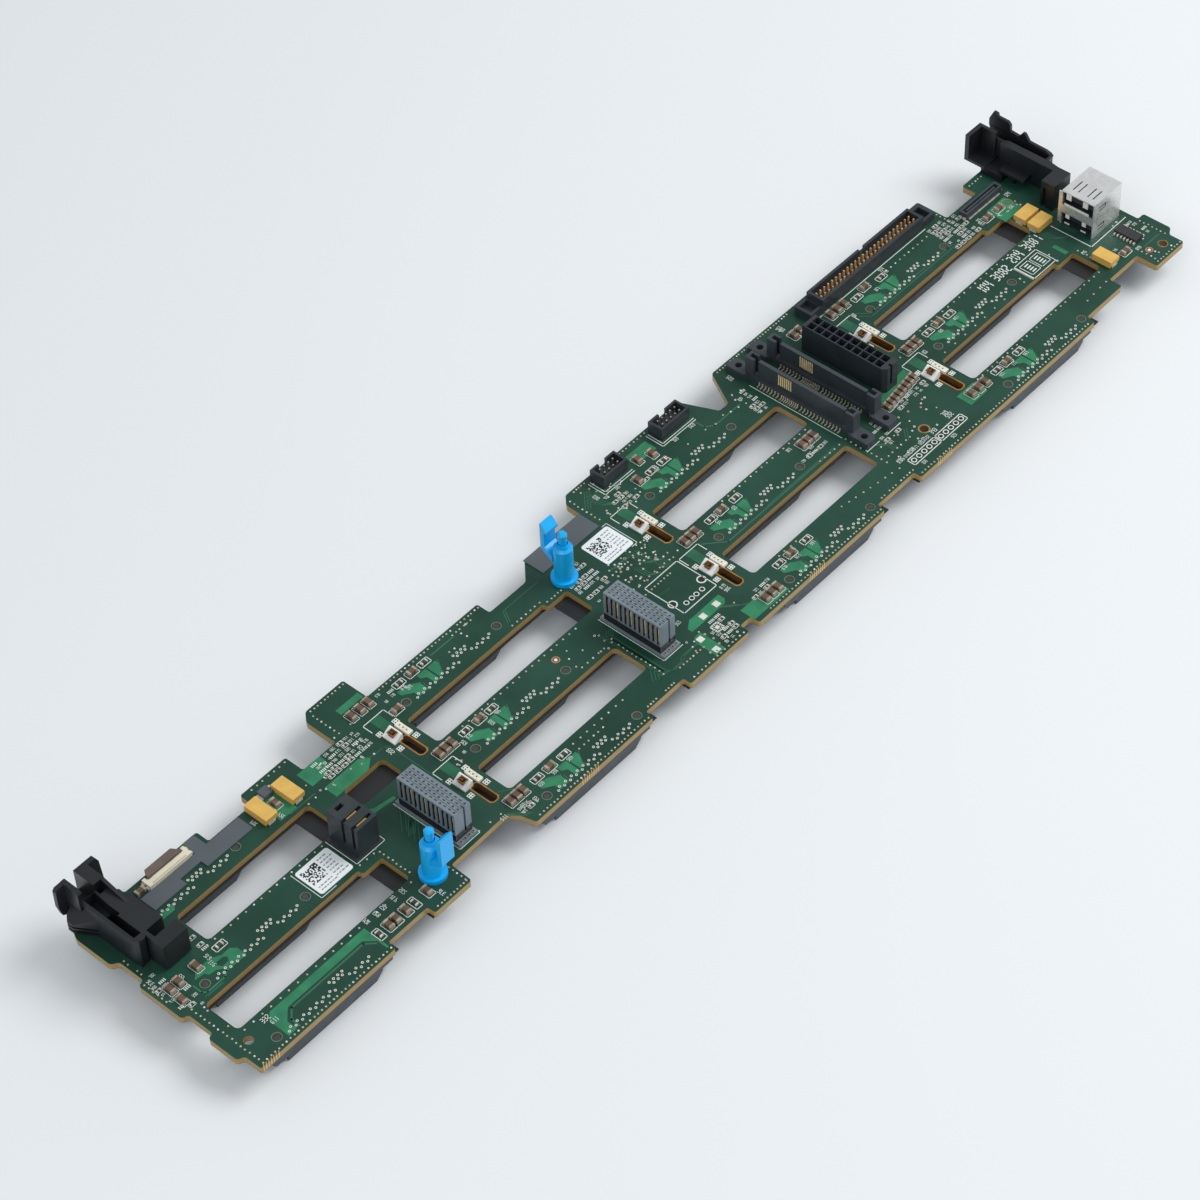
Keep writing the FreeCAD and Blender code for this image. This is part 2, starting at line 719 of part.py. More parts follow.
# Two link sockets: a wide foot, a tall body and a comb of contact grooves on one side
for number in (0, 1):
    link = new_body("Link")
    foot = sketch_on(link, "XY_Plane")
    loop(foot, rectangle(as_size(0), as_size(0), s.link_base_width, s.link_base_length))
    pad(link, foot, s.link_base_height - 3)
    tower = sketch_on(link, "XY_Plane")
    tower_y = (s.link_base_length - s.link_length) / 2
    loop(tower, rectangle(as_size(0.2), tower_y, s.link_width, s.link_length))
    pad(link, tower, s.link_height)
    grooves = sketch_on(link, "XY_Plane", s.link_height - 0.7)
    first_y = (s.link_base_length - s.link_groove) / 2 - s.link_comb_shift - 5.5 * s.link_pitch
    loop(grooves, rectangle(as_size(-0.2), first_y, s.link_groove_depth + 0.4, s.link_groove))
    groove = pocket(link, grooves, s.link_height - s.link_base_height - 0.7)
    row_of(link, groove, "Y_Axis", s.link_pitch, 12)
    keyway = sketch_on(link, "XY_Plane", s.link_height)
    loop(keyway, rectangle(s.link_width / 2 + 0.6, tower_y - 0.5, 0.7, 1.3))
    pocket(link, keyway, s.link_height - s.link_base_height + 1.2)
    seat(link, s.link_x + number * s.link_shift_x, s.link_y + number * s.link_shift_y, 0,
         f"link_socket_{number + 1}")
    strips = []
    for index in range(12):
        strips.append(Part.makeBox(
            s.link_contact.value, 0.6 * s.link_groove.value, 7.0,
            FreeCAD.Vector(0.9, index * s.link_pitch.value, 0)))
    contacts = doc.addObject("Part::Feature", "LinkContacts")
    contacts.Shape = Part.makeCompound(strips)
    seat(contacts, s.link_x + number * s.link_shift_x,
         s.link_y + number * s.link_shift_y + first_y + 0.2 * s.link_groove,
         s.link_base_height, f"link_contacts_{number + 1}")

# Two drive plugs: a base with eared ends, two end guides and a blade wall
for number in (0, 1):
    plug = new_body("Plug")
    ears = sketch_on(plug, "XY_Plane")
    half = s.plug_ear_width / 2
    reach = s.plug_holes
    loop(ears, [(-half, -3.2), (half - 1.2, -3.2), (half, -2), (half, reach + 2),
                (half - 1.2, reach + 3.2), (-half, reach + 3.2), (-half, reach - 4.2),
                (-half + 1.4, reach - 5.4), (-half + 1.4, 5.6), (-half, 4.4)])
    pad(plug, ears, s.plug_base)
    guides = sketch_on(plug, "XY_Plane")
    loop(guides, rectangle(-half + 1.4, as_size(3.6), s.plug_post, s.plug_post))
    loop(guides, rectangle(-half + 1.4, reach - 7.0, s.plug_post, s.plug_post))
    pad(plug, guides, s.plug_height)
    wall = sketch_on(plug, "XY_Plane")
    blade_y = reach / 2 - s.plug_blade_length / 2
    loop(wall, rectangle(-half + 2.6, blade_y, s.plug_blade, s.plug_blade_length))
    pad(plug, wall, s.plug_blade_height)
    channel = sketch_on(plug, "XY_Plane", s.plug_height)
    loop(channel, rectangle(-half + 2.4, as_size(4.6), 1.6, s.plug_post))
    loop(channel, rectangle(-half + 2.4, reach - 8.0, 1.6, s.plug_post))
    pocket(plug, channel, s.plug_height - s.plug_base)
    screw = sketch_on(plug, "XY_Plane")
    ring(screw, 0, 0, s.plug_hole / 2)
    ring(screw, 0, reach, s.plug_hole / 2)
    pocket(plug, screw, s.plug_base, up=True)
    seat(plug, s.plug_x + number * s.plug_shift, s.plug_y, 0, f"drive_plug_{number + 1}")
    strips = []
    for index in range(7):
        strips.append(Part.makeBox(
            0.15, 0.5 * s.plug_pitch.value, 4.2,
            FreeCAD.Vector(-0.15, index * s.plug_pitch.value, 0)))
    contacts = doc.addObject("Part::Feature", "PlugContacts")
    contacts.Shape = Part.makeCompound(strips)
    seat(contacts, s.plug_x + number * s.plug_shift - half + 2.6, s.plug_y + 29.1, 3.4,
         f"drive_plug_contacts_{number + 1}")

# Blade power socket: a block with two open slots and two flat blades in them
housing = new_body("BladeHousing")
base = sketch_on(housing, "XY_Plane")
loop(base, rectangle(as_size(0), as_size(0), s.blade_width, s.blade_length))
pad(housing, base, s.blade_height)
slits = sketch_on(housing, "XY_Plane", s.blade_height)
for index in (0, 1):
    loop(slits, rectangle(as_size(-0.2), 1.2 + index * s.blade_pitch, s.blade_slit + 0.2,
                          s.blade_slot))
loop(slits, rectangle(as_size(1.9), s.blade_length - 2.7, 2.7, 1.5))
pocket(housing, slits, s.blade_height - 2.6)
seat(housing, s.blade_x, s.blade_y, 0, "blade_socket")
blades = doc.addObject("Part::Feature", "Blades")
gap = (s.blade_slot.value - 0.6) / 2
blades.Shape = Part.makeCompound([
    Part.makeBox(s.blade_reach.value, 0.6, s.blade_top.value - 2.6,
                 FreeCAD.Vector(1.7, 1.2 + gap + i * s.blade_pitch.value, 0))
    for i in (0, 1)])
seat(blades, s.blade_x, s.blade_y, 2.6, "blade_contacts")

# Double-deck receptacle: a folded shell with a lip, a band across its mouth and spring slits
folded = joined(
    block(0, 0, 0, s.port_depth, s.port_wall, s.port_height),
    block(0, s.port_width - s.port_wall, 0, s.port_depth, s.port_wall, s.port_height),
    block(0, 0, s.port_height - s.port_wall, s.port_depth, s.port_width, s.port_wall),
    block(s.port_depth - s.port_wall, 0, s.port_back, s.port_wall, s.port_width,
          s.port_height - s.port_back),
    block(0, 0, s.port_low_top, 0.5, s.port_width, s.port_high_floor - s.port_low_top),
    block(0, s.port_width - s.port_wall, 0.6, 0.4, s.port_lip + s.port_wall,
          s.port_height - 1.2))
shell = without(
    folded,
    *[block(2.4, s.port_width * share, s.port_height - 2 * s.port_wall, 5.2, s.port_slit,
            3 * s.port_wall) for share in (0.18, 0.34, 0.62, 0.78)],
    *[block(3.0, -s.port_wall, s.port_height * share, 5.2, 3 * s.port_wall, s.port_slit)
      for share in (0.2, 0.47, 0.76)])
seat(shell, s.port_x, s.port_y, 0, "port_shell")
depth = s.port_depth - s.port_wall - 1.2
wide = s.port_width - 2 * s.port_wall
tall = s.port_height - s.port_wall
core = without(
    block(0.7, s.port_wall, 0, depth, wide, tall),
    block(0.6, s.port_wall + 0.5, s.port_low_floor, depth - 3, wide - 1,
          s.port_low_top - s.port_low_floor),
    block(0.6, s.port_wall + 0.5, s.port_high_floor, depth - 3, wide - 1, tall))
tongues = joined(
    core,
    block(1.6, s.port_wall + 1.2, s.port_low_floor + 1.5, depth - 2, wide - 2.4, 1.7),
    block(1.6, s.port_wall + 1.2, s.port_high_floor + 1.9, depth - 2, wide - 2.4, 1.7),
    block(s.port_depth - 2, s.port_wall + 0.6, 0, s.port_tail + 2, wide - 1.2,
          s.port_back - 0.3))
seat(tongues, s.port_x, s.port_y, 0, "port_insert")

# Slim board-to-board connector: a low shroud round a centre rib
slim = joined(
    without(block(0, 0, 0, s.slim_length, s.slim_width, s.slim_height),
            block(0.8, 0.7, 0.7, s.slim_length - 1.6, s.slim_width - 1.4, s.slim_height)),
    block(1.8, s.slim_width / 2 - 0.35, 0.5, s.slim_length - 3.6, 0.7, s.slim_height - 0.8))
seat(slim, s.slim_x, s.slim_y, 0, "slim_connector")

# Flat-cable connector and its latch bar
flat = without(
    block(0, 0, 0, s.flat_length, s.flat_width, s.flat_height),
    block(1.2, s.flat_width - 1.2, 0.6, s.flat_length - 2.4, 1.4, s.flat_height))
seat(flat, s.flat_x, s.flat_y, 0, "flat_connector")
bar = new_body("Bar")
base = sketch_on(bar, "XY_Plane")
loop(base, [(1.5, s.flat_width - 1.1), (s.flat_length - 1.5, s.flat_width - 1.1),
            (s.flat_length - 3.3, s.flat_width + s.flat_bar_reach),
            (2.7, s.flat_width + s.flat_bar_reach)])
pad(bar, base, s.flat_bar_top - 0.65)
seat(bar, s.flat_x, s.flat_y, 0.65, "flat_latch_bar")

# Retention pins: a fixed stud with a round head, and a sleeve that slides up on it
for number in (0, 1):
    x = s.latch_far_x if number else s.latch_x
    y = s.latch_far_y if number else s.latch_y
    stud = new_body("Stud")
    half = sketch_on(stud, "XZ_Plane")
    w = s.latch_pin / 2
    peak = s.latch_pin_height
    loop(half, [(0, 0), (w, 0), (w, peak - 5.2), (0.62 * w, peak - 4.2), (0.62 * w, peak - 2.9),
                (w, peak - 2.1), (w, peak - 0.9), (0.6 * w, peak - 0.15), (0, peak)])
    turned = stud.newObject("PartDesign::Revolution", "Turned")
    turned.Profile = half
    turned.ReferenceAxis = (half, ["V_Axis"])
    turned.Angle = 360
    seat(stud, x, y, 0, f"latch_stud_{number + 1}")
    sleeve = new_body("Sleeve")
    half = sketch_on(sleeve, "XZ_Plane")
    bore = s.latch_pin / 2 + s.latch_slip
    skin = s.latch_body / 2
    loop(half, [(bore, 0), (s.latch_foot / 2, 0), (s.latch_foot / 2, s.latch_foot_height),
                (skin, s.latch_foot_height), (skin, s.latch_height - s.latch_bevel),
                (skin - s.latch_bevel, s.latch_height), (bore, s.latch_height)])
    turned = sleeve.newObject("PartDesign::Revolution", "Turned")
    turned.Profile = half
    turned.ReferenceAxis = (half, ["V_Axis"])
    turned.Angle = 360
    tab = sketch_on(sleeve, "YZ_Plane", -s.tab_width / 2)
    outer = -s.tab_reach
    loop(tab, [(-2.2, s.tab_foot - 3.2), (outer, s.tab_foot), (outer, s.tab_top),
               (outer + 0.7, s.tab_top), (outer + 2.7, s.tab_top - 2.3),
               (outer + 2.7, s.tab_top - 3.2), (outer + s.tab_thick, s.tab_top - 3.2),
               (outer + s.tab_thick, s.tab_foot + 1.2), (-2.2, s.tab_foot - 0.9)])
    pad(sleeve, tab, s.tab_width)
    seat(sleeve, x, y, s.latch_seat, f"latch_sleeve_{number + 1}", turn=180 * number)

# Block capacitors with folded metal ends
shoes = []
for number, (x, y, length, width) in enumerate((
        (49.3, 52.9, 4.6, 9.0), (59.6, 52.4, 4.6, 9.0),
        (3 * column + 62.9, 40.3, 7.6, 4.6), (3 * column + 62.7, 34.6, 7.6, 4.6),
        (3 * column + 63.6, 6.4, 4.6, 7.6))):
    lift = 0.3
    body = without(
        block(0, 0, lift, length, width, s.block_height - lift),
        block(-0.1, -0.1, lift - 0.1, length + 0.2, 0.5, s.block_shoe)
        if width > length else
        block(-0.1, -0.1, lift - 0.1, 0.5, width + 0.2, s.block_shoe))
    seat(body, x, y, 0, f"block_capacitor_{number + 1}")
    x, y = as_size(x), as_size(y)
    if width > length:
        shoes.append(block(x + length / 2 - 1.3, y, 0, 2.6, 0.38, s.block_shoe))
        shoes.append(block(x + length / 2 - 1.3, y + 0.8, 0, 2.6, width - 1, 0.28))
    else:
        shoes.append(block(x, y + width / 2 - 1.3, 0, 0.38, 2.6, s.block_shoe))
        shoes.append(block(x + 0.8, y + width / 2 - 1.3, 0, length - 1, 2.6, 0.28))
seat(grouped(*shoes), 0, 0, 0, "capacitor_shoes")

# Control chip with its two rows of leads
chip_x = 3 * column + 78.8
chip = joined(
    block(0, 0, 0.15, 3.9, 8.7, s.chip_height - 0.15),
    *[block(side * 3.9 - (1 - side) * 1.0, 0.25 + 1.27 * index, 0, 1.0, 0.45, 0.75)
      for index in range(7) for side in (0, 1)])
seat(chip, chip_x, 7.2, 0, "control_chip")

# Light holders: white wedges with a square window, and the light chips beside them
lights = []
for number in (1, 2, 3):
    for level in (0, 1):
        spot_x = number * column - 14.0
        spot_y = 18.6 + level * s.row_pitch
        wedge = new_body("Wedge")
        side = sketch_on(wedge, "XZ_Plane")
        loop(side, [(0, 0), (s.light_width, 0), (s.light_width, s.light_height),
                    (s.light_width - 0.5, s.light_height), (0, s.light_low)])
        pad(wedge, side, s.light_length, down=True)
        eye = sketch_on(wedge, "XY_Plane", s.light_height)
        loop(eye, rectangle(as_size(0.9), s.light_length / 2 - 1.0, 1.7, 2.0))
        pocket(wedge, eye, s.light_height - 0.4)
        seat(wedge, spot_x, spot_y, 0, f"light_holder_c{number + 1}_r{2 - level}")
        lights.append(block(spot_x + s.light_width + 1.6, spot_y - 0.6, 0, 2.0, 5.6, 0.9))
seat(grouped(*lights), 0, 0, 0, "light_chips")


def plan(body, points, height, low=0, mirror=False):
    """Raises a plan outline from one height to another, mirrored for the right-hand piece."""
    sketch = sketch_on(body, "XY_Plane", low)
    loop(sketch, [(s.bracket_sum - x if mirror else x, y) for x, y in points])
    return pad(body, sketch, height - low)


def carve(body, points, high, depth, mirror=False):
    """Sinks a plan outline into the body from a height."""
    sketch = sketch_on(body, "XY_Plane", high)
    loop(sketch, [(s.bracket_sum - x if mirror else x, y) for x, y in points])
    return pocket(body, sketch, depth)


low = s.bracket_low
high = s.bracket_high
flange = s.bracket_flange
rear = s.bracket_back
wall = s.bracket_wall
outer = s.bracket_outer
inner = s.bracket_inner
nose = s.bracket_nose
front = s.bracket_front

# Left bracket: channel with a nose, stepped middle block, end flange, flared ear and gusset
left_bracket = new_body("LeftBracket")
plan(left_bracket, [
    (outer, rear - 8), (outer, nose + 1.6), (outer + 1, nose + 0.3), (inner - 0.6, nose),
    (inner + 0.2, nose + 0.7), (inner + 0.2, nose - 2), (inner + 1.5, nose - 2),
    (inner + 1.5, nose + 1.7), (3.8, nose + 1.7), (3.8, nose + 14.7), (1.8, nose + 14.7),
    (1.8, rear - 8)], low)
plan(left_bracket, rectangle(inner + 0.1, front, as_size(9.2), s.bracket_block), low, low=0.7)
plan(left_bracket, rectangle(inner + 0.6, front + 0.5, as_size(8.2), s.bracket_block - 0.5), 1.0)
plan(left_bracket, rectangle(as_size(-2.2), rear - 8, as_size(4.0), as_size(8)), flange, low=2.0)
end = sketch_on(left_bracket, "XZ_Plane", -rear)
loop(end, [(-2.2, 2), (6.2, 2), (5.6, flange - 1.9), (4.6, flange), (-2.2, flange)])
pad(left_bracket, end, 1.6)
plan(left_bracket, rectangle(outer, rear - 8, as_size(9.2), as_size(7)), 6.0, low=0)
ear = sketch_on(left_bracket, "XZ_Plane", -(rear - 3.2))
loop(ear, [(outer, 3), (outer - 1.2, 2.9), (outer - 3.1, 4), (outer - 4.0, 7.9),
           (outer - 3.9, high - 1.1), (outer - 3.2, high - 0.2), (outer - 0.4, high - 0.1)])
pad(left_bracket, ear, 1.4, down=True)
side = sketch_on(left_bracket, "YZ_Plane", outer - 0.8)
loop(side, [(rear - 9.5, 4), (rear - 8.6, low), (rear - 8.6, high - 1), (rear - 8.0, high),
            (rear - 1.8, high), (rear - 1.8, 3), (rear - 8, 3)])
pad(left_bracket, side, wall + 0.4)
carve(left_bracket, [
    (outer + wall, nose + 2.3), (inner, nose + 2.1), (inner, nose + 11.3),
    (inner + 0.9, nose + 11.3), (inner + 0.9, nose + 15.9), (outer + wall, nose + 15.9)],
    low, low - s.bracket_floor)
carve(left_bracket, [
    (outer + wall, nose + 15.8), (inner + 0.9, nose + 15.8), (inner + 1.4, rear - 8.1),
    (outer + wall, rear - 8.1)], low, low - 6.0)
carve(left_bracket, rectangle(inner + 2.1, rear - 9.9, as_size(2.4), as_size(1.9)), low, 4.0)
plan(left_bracket, [
    (outer + 0.3, nose + 16.4), (outer, nose + 16.5), (outer - 3.8, nose + 22.9),
    (outer - 3.8, nose + 25), (outer - 2.4, nose + 26.4), (outer + 0.3, nose + 26.4)], 7.2)
slope = sketch_on(left_bracket, "XZ_Plane", -(rear - 3))
loop(slope, [(outer - 4.5, 3.1), (outer, 7.2), (outer, 8), (outer - 4.5, 8)])
pocket(left_bracket, slope, 20, up=True)
for level in (1.5, 3.0):
    carve(left_bracket, [
        (outer - 5, nose + 24.9), (outer + 0.2, nose + 16.1), (outer + 0.2, nose + 18.2),
        (outer - 3.9, nose + 25.1)], as_size(level), 0.7)
toe = sketch_on(left_bracket, "XY_Plane")
loop(toe, [(outer + 0.3, nose + 1.0), (outer + 0.3, nose - 0.1), (inner + 0.3, nose + 0.2),
           (inner + 0.3, nose + 1.0)])
pad(left_bracket, toe, 1.2)
seat(left_bracket, name="guide_bracket_left")

# Right bracket: channel with a hooked and toothed outer wall, a ledge and an end flange
right_bracket = new_body("RightBracket")
plan(right_bracket, [
    (outer - 0.6, rear - 1.5), (outer - 0.6, nose + 4.4), (outer + 0.6, nose + 3),
    (inner - 0.4, nose + 2.7), (inner, nose + 0.6), (inner + 0.4, nose - 1.6),
    (inner + 2.9, nose - 1.6), (inner + 2.7, nose + 20.2), (inner + 1.2, nose + 20.2),
    (inner + 0.9, rear - 1.5)], low, mirror=True)
plan(right_bracket, rectangle(inner + 0.4, front - 0.4, as_size(8.9), s.bracket_block + 0.7),
     low, mirror=True)
plan(right_bracket, rectangle(inner + 0.6, rear - 7.4, wall + 0.2, as_size(7.4)),
     flange - 0.4, mirror=True)
plan(right_bracket, rectangle(inner + 0.6, rear - 1.6, as_size(8.0), as_size(1.6)),
     flange - 0.4, low=2.2, mirror=True)
plan(right_bracket, rectangle(inner + 0.6, rear - 8.4, as_size(8.0), as_size(8.4)), 3.2,
     low=2.2, mirror=True)
plan(right_bracket, rectangle(inner + 0.9, rear - 15.2, as_size(7.6), as_size(8.3)), 2.6,
     mirror=True)
plan(right_bracket, rectangle(inner + 2.4, nose + 6.9, as_size(5.1), as_size(9.9)), 4.2,
     low=3.2, mirror=True)
plan(right_bracket, rectangle(inner + 2.4, nose + 11.2, as_size(4.0), as_size(1.2)), 3.3,
     mirror=True)
crest = sketch_on(right_bracket, "YZ_Plane", s.bracket_sum - outer - 0.5)
loop(crest, [(nose + 3.4, low - 1), (rear - 1.4, low - 1), (rear - 1, low), (rear - 1, high - 2.6),
             (rear - 2.6, high + 0.8), (rear - 4.2, high + 0.6), (rear - 4.4, high - 0.5),
             (rear - 8.6, high - 0.6), (rear - 9.6, high - 1.7), (rear - 9.7, low + 1.1),
             (rear - 13.1, low + 0.8), (rear - 14.6, low + 3), (rear - 15.6, low + 3),
             (rear - 17.4, low + 0.6), (nose + 6, low + 0.4), (nose + 4.4, low)])
pad(right_bracket, crest, wall)
carve(right_bracket, [
    (outer + 0.9, nose + 4.0), (inner - 0.2, nose + 3.8), (inner - 0.2, nose + 19),
    (inner + 0.5, nose + 20), (inner + 0.5, rear - 1.4), (outer + 0.6, rear - 1.4)],
    low, low - s.bracket_floor, mirror=True)
carve(right_bracket, rectangle(as_size(4.6), front + 2.6, as_size(1.2), as_size(1.4)), low - 2.4,
      low - 2.4, mirror=True)
seat(right_bracket, name="guide_bracket_right")

# Grey cover films on the top side
cover = new_body("Cover")
base = sketch_on(cover, "XY_Plane")
loop(base, [(8.6, 55.7), (20.7, 55.7), (20.7, 58.4), (28.8, 58.4), (28.8, 55.7),
            (46.6, 55.7), (46.6, 61.7), (34, 61.7), (34, 66.9), (29.6, 66.9), (29.6, 61.7),
            (8.6, 61.7)])
pad(cover, base, s.cover_thick)
seat(cover, name="cover_film_1")
patch = block(0, 0, 0, 25.3, 8.1, s.cover_thick)
seat(patch, 171.6, 58.2, 0, "cover_film_2")

# Small ceramic capacitors beside the receptacles and in front of the power header
chips = []


def chip_row(x, y, count, pitch=s.cap_pitch, width=s.cap_width, length=s.cap_length, rise=0):
    """Capacitors side by side, from the first one's low corner."""
    for index in range(count):
        chips.append(block(x + index * pitch, y + index * rise, 0, width, length, s.cap_height))


for number in (1, 2, 3):
    chip_row(number * column - 9.3, 4.8 + s.row_pitch, 3)
chip_row(column - 9.3, 4.8, 3)
chip_row(2 * column - 11.5, -1.1, 3, 2.85)
chip_row(3 * column - 11.9, 4.4, 3, 3.5)
chip_row(column - 15.2, 61.4, 3, 3.5)
chip_row(2 * column + 1.6, 60.1, 1)
chip_row(2 * column + 45.3, 31.0, 3)
chip_row(3 * column - 11.4, 61.0, 3, 3.4)
chip_row(-8.5, 31.5, 2, 3.2)
chip_row(-8.8, 26.5, 1)
chip_row(1.5, 31.6, 1)
chip_row(3 * column - 33.0, 21.2, 8, 2.25, 1.4, 2.9, 0.3)
seat(grouped(*chips), 0, 0, 0, "ceramic_capacitors")

doc.recompute()

for obj in doc.Objects:
    if "Invalid" in obj.State or "Error" in obj.State:
        raise RuntimeError(f"{obj.Name} ({obj.Label}) did not build: {obj.State}")
for part in parts:
    if part.Shape.isNull() or not part.Shape.isValid():
        raise RuntimeError(f"{part.Label} has no valid shape")

os.makedirs("parts", exist_ok=True)
for part in parts:
    part.Shape.exportStep(f"parts/{part.Label}.step")
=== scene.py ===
import json
import math
import random

import bmesh
import bpy
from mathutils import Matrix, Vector
from mathutils.bvhtree import BVHTree


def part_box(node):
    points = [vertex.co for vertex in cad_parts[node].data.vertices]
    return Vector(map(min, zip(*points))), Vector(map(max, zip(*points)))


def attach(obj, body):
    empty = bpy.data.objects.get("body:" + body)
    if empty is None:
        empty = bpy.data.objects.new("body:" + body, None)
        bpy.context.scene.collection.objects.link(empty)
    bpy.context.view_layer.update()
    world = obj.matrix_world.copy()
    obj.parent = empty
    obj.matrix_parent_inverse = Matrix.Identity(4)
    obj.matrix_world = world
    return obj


# Drive backplane board: materials, surface marks and the smallest parts on the fixed frame.
# Sizes are millimetres from the board's datum, the low peg of the first receptacle of the
# front row, on the board's top face. Blender's own lengths are metres.

MM = 0.001
SEED = 11

# Board layout
DATUM_FROM_LEFT = 12.15
DATUM_FROM_FRONT = 4.05
COLUMN = 108.3
ROW = 27.42
PEG_SPACING = 38.78

# Thickness of what lies on the board's top face, and of a thin mark on any other face
POUR = 0.03
POUR_OVER = 0.05
TRACE = 0.04
INK = 0.07
PAD = 0.09
VIA = 0.12
LABEL = 0.14
SKIN = 0.02

# Copper lines, and the rows of openings in the link sockets
LINE = 0.25
LINK_PITCH = 1.78
LINK_ROW = 1.45

# Routed slots beside the light holders
SLOT_HALF = 1.5
SLOT_LENGTH = 8.8
SLOT_CUT = 0.75

# Light holders and the chips beside them: heights on the board
LENS_TOP = 0.9
HOLDER_TOP = 2.3
HOLDER_FLOOR = 0.4

# Paper labels
LABEL_CORNER = 0.9
LABEL_DOT = 0.42

# Camera of the photograph, in the frame's millimetres and degrees
CAMERA_PLACE = (-540.6, -480.06, 771.87)
CAMERA_TURN = (42.746, 1.9025, -48.7626)
CAMERA_LENS = 104.76
CAMERA_SENSOR = 36

# Light level
SKY_STRENGTH = 0.52
BACKDROP = (0.88, 0.9, 0.92)
FLOOR_COLOUR = (0.8, 0.825, 0.845)
FLOOR_HALF = 3.0

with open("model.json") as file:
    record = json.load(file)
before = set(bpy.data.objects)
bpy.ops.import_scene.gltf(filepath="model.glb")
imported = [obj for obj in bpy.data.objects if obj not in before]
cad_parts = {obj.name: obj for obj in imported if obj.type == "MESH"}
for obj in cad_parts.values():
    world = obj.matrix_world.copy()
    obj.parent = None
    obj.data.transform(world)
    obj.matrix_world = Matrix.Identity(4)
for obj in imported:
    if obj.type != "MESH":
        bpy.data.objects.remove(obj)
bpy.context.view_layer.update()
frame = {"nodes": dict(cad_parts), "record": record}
nodes = frame["nodes"]
dice = random.Random(SEED)

board_low, board_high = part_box("circuit_board")
board_thick = (board_high.z - board_low.z) / MM
datum = Vector((board_low.x + DATUM_FROM_LEFT * MM, board_low.y + DATUM_FROM_FRONT * MM,
                board_high.z))


def at(x, y, z=0.0):
    """A point of the frame, in metres."""
    return datum + Vector((x, y, z)) * MM


def from_datum(point):
    """The millimetres from the datum of a point of the frame."""
    return (point - datum) / MM


def measured(box):
    """The two corners of a box of the frame, in millimetres from the datum."""
    return [from_datum(corner) for corner in box]


def new_object(name, data):
    made = bpy.data.objects.new(name, data)
    bpy.context.scene.collection.objects.link(made)
    return made


# Materials


def new_material(name):
    material = bpy.data.materials.new(name)
    material.use_nodes = True
    return material, material.node_tree, material.node_tree.nodes["Principled BSDF"]


def set_inputs(node, values):
    """Sets inputs of a node by their names."""
    for name, value in values.items():
        node.inputs[name].default_value = value


def noise(tree, scale, detail=3.0, rough=0.55):
    """A noise pattern in the frame's own coordinates. Scale is spots per metre."""
    place = tree.nodes.new("ShaderNodeTexCoord")
    pattern = tree.nodes.new("ShaderNodeTexNoise")
    set_inputs(pattern, {"Scale": scale, "Detail": detail, "Roughness": rough})
    tree.links.new(place.outputs["Object"], pattern.inputs["Vector"])
    return pattern.outputs["Fac"]


def ramp(tree, source, stops):
    """Colours along a value between 0 and 1."""
    node = tree.nodes.new("ShaderNodeValToRGB")
    while len(node.color_ramp.elements) < len(stops):
        node.color_ramp.elements.new(0.5)
    for element, (position, colour) in zip(node.color_ramp.elements, stops):
        element.position = position
        element.color = (*colour, 1.0)
    tree.links.new(source, node.inputs["Fac"])
    return node.outputs["Color"]


def spread(tree, source, low, high):
    """Stretches the middle of a pattern to a range of values."""
    node = tree.nodes.new("ShaderNodeMapRange")
    set_inputs(node, {"From Min": 0.3, "From Max": 0.7, "To Min": low, "To Max": high})
    tree.links.new(source, node.inputs["Value"])
    return node.outputs["Result"]


def shade(colour, factor):
    return tuple(min(1.0, channel * factor) for channel in colour)


def tinted(tree, shader, colour, change, patch):
    """A base colour that drifts a little darker and lighter."""
    tone = ramp(tree, noise(tree, patch),
                [(0.3, shade(colour, 1 - change)), (0.7, shade(colour, 1 + change))])
    tree.links.new(tone, shader.inputs["Base Color"])


def glossed(tree, shader, patch, low, high):
    """A roughness that changes from patch to patch."""
    tree.links.new(spread(tree, noise(tree, patch), low, high), shader.inputs["Roughness"])


def bumped(tree, shader, source, strength, depth):
    """A relief of a depth in millimetres."""
    node = tree.nodes.new("ShaderNodeBump")
    set_inputs(node, {"Strength": strength, "Distance": depth * MM})
    tree.links.new(source, node.inputs["Height"])
    tree.links.new(node.outputs["Normal"], shader.inputs["Normal"])


def blend_colours(tree, factor, first, second):
    node = tree.nodes.new("ShaderNodeMix")
    node.data_type = "RGBA"
    tree.links.new(factor, node.inputs["Factor"])
    for socket, colour in ((node.inputs["A"], first), (node.inputs["B"], second)):
        if isinstance(colour, tuple):
            socket.default_value = (*colour, 1.0)
        else:
            tree.links.new(colour, socket)
    return node.outputs["Result"]


def compare(tree, source, operation, value):
    node = tree.nodes.new("ShaderNodeMath")
    node.operation = operation
    node.inputs[1].default_value = value
    tree.links.new(source, node.inputs[0])
    return node.outputs[0]


def upward(tree, kind, output):
    """The upward part of a point or a direction."""
    source = tree.nodes.new(kind)
    split = tree.nodes.new("ShaderNodeSeparateXYZ")
    tree.links.new(source.outputs[output], split.inputs[0])
    return split.outputs["Z"]


def height_of(tree):
    """The height of the shaded point in the frame, in metres."""
    return upward(tree, "ShaderNodeTexCoord", "Object")


def facing_up(tree):
    """1 where the face looks up or down, 0 on upright sides."""
    normal = upward(tree, "ShaderNodeNewGeometry", "Normal")
    return compare(tree, compare(tree, normal, "ABSOLUTE", 0), "GREATER_THAN", 0.5)


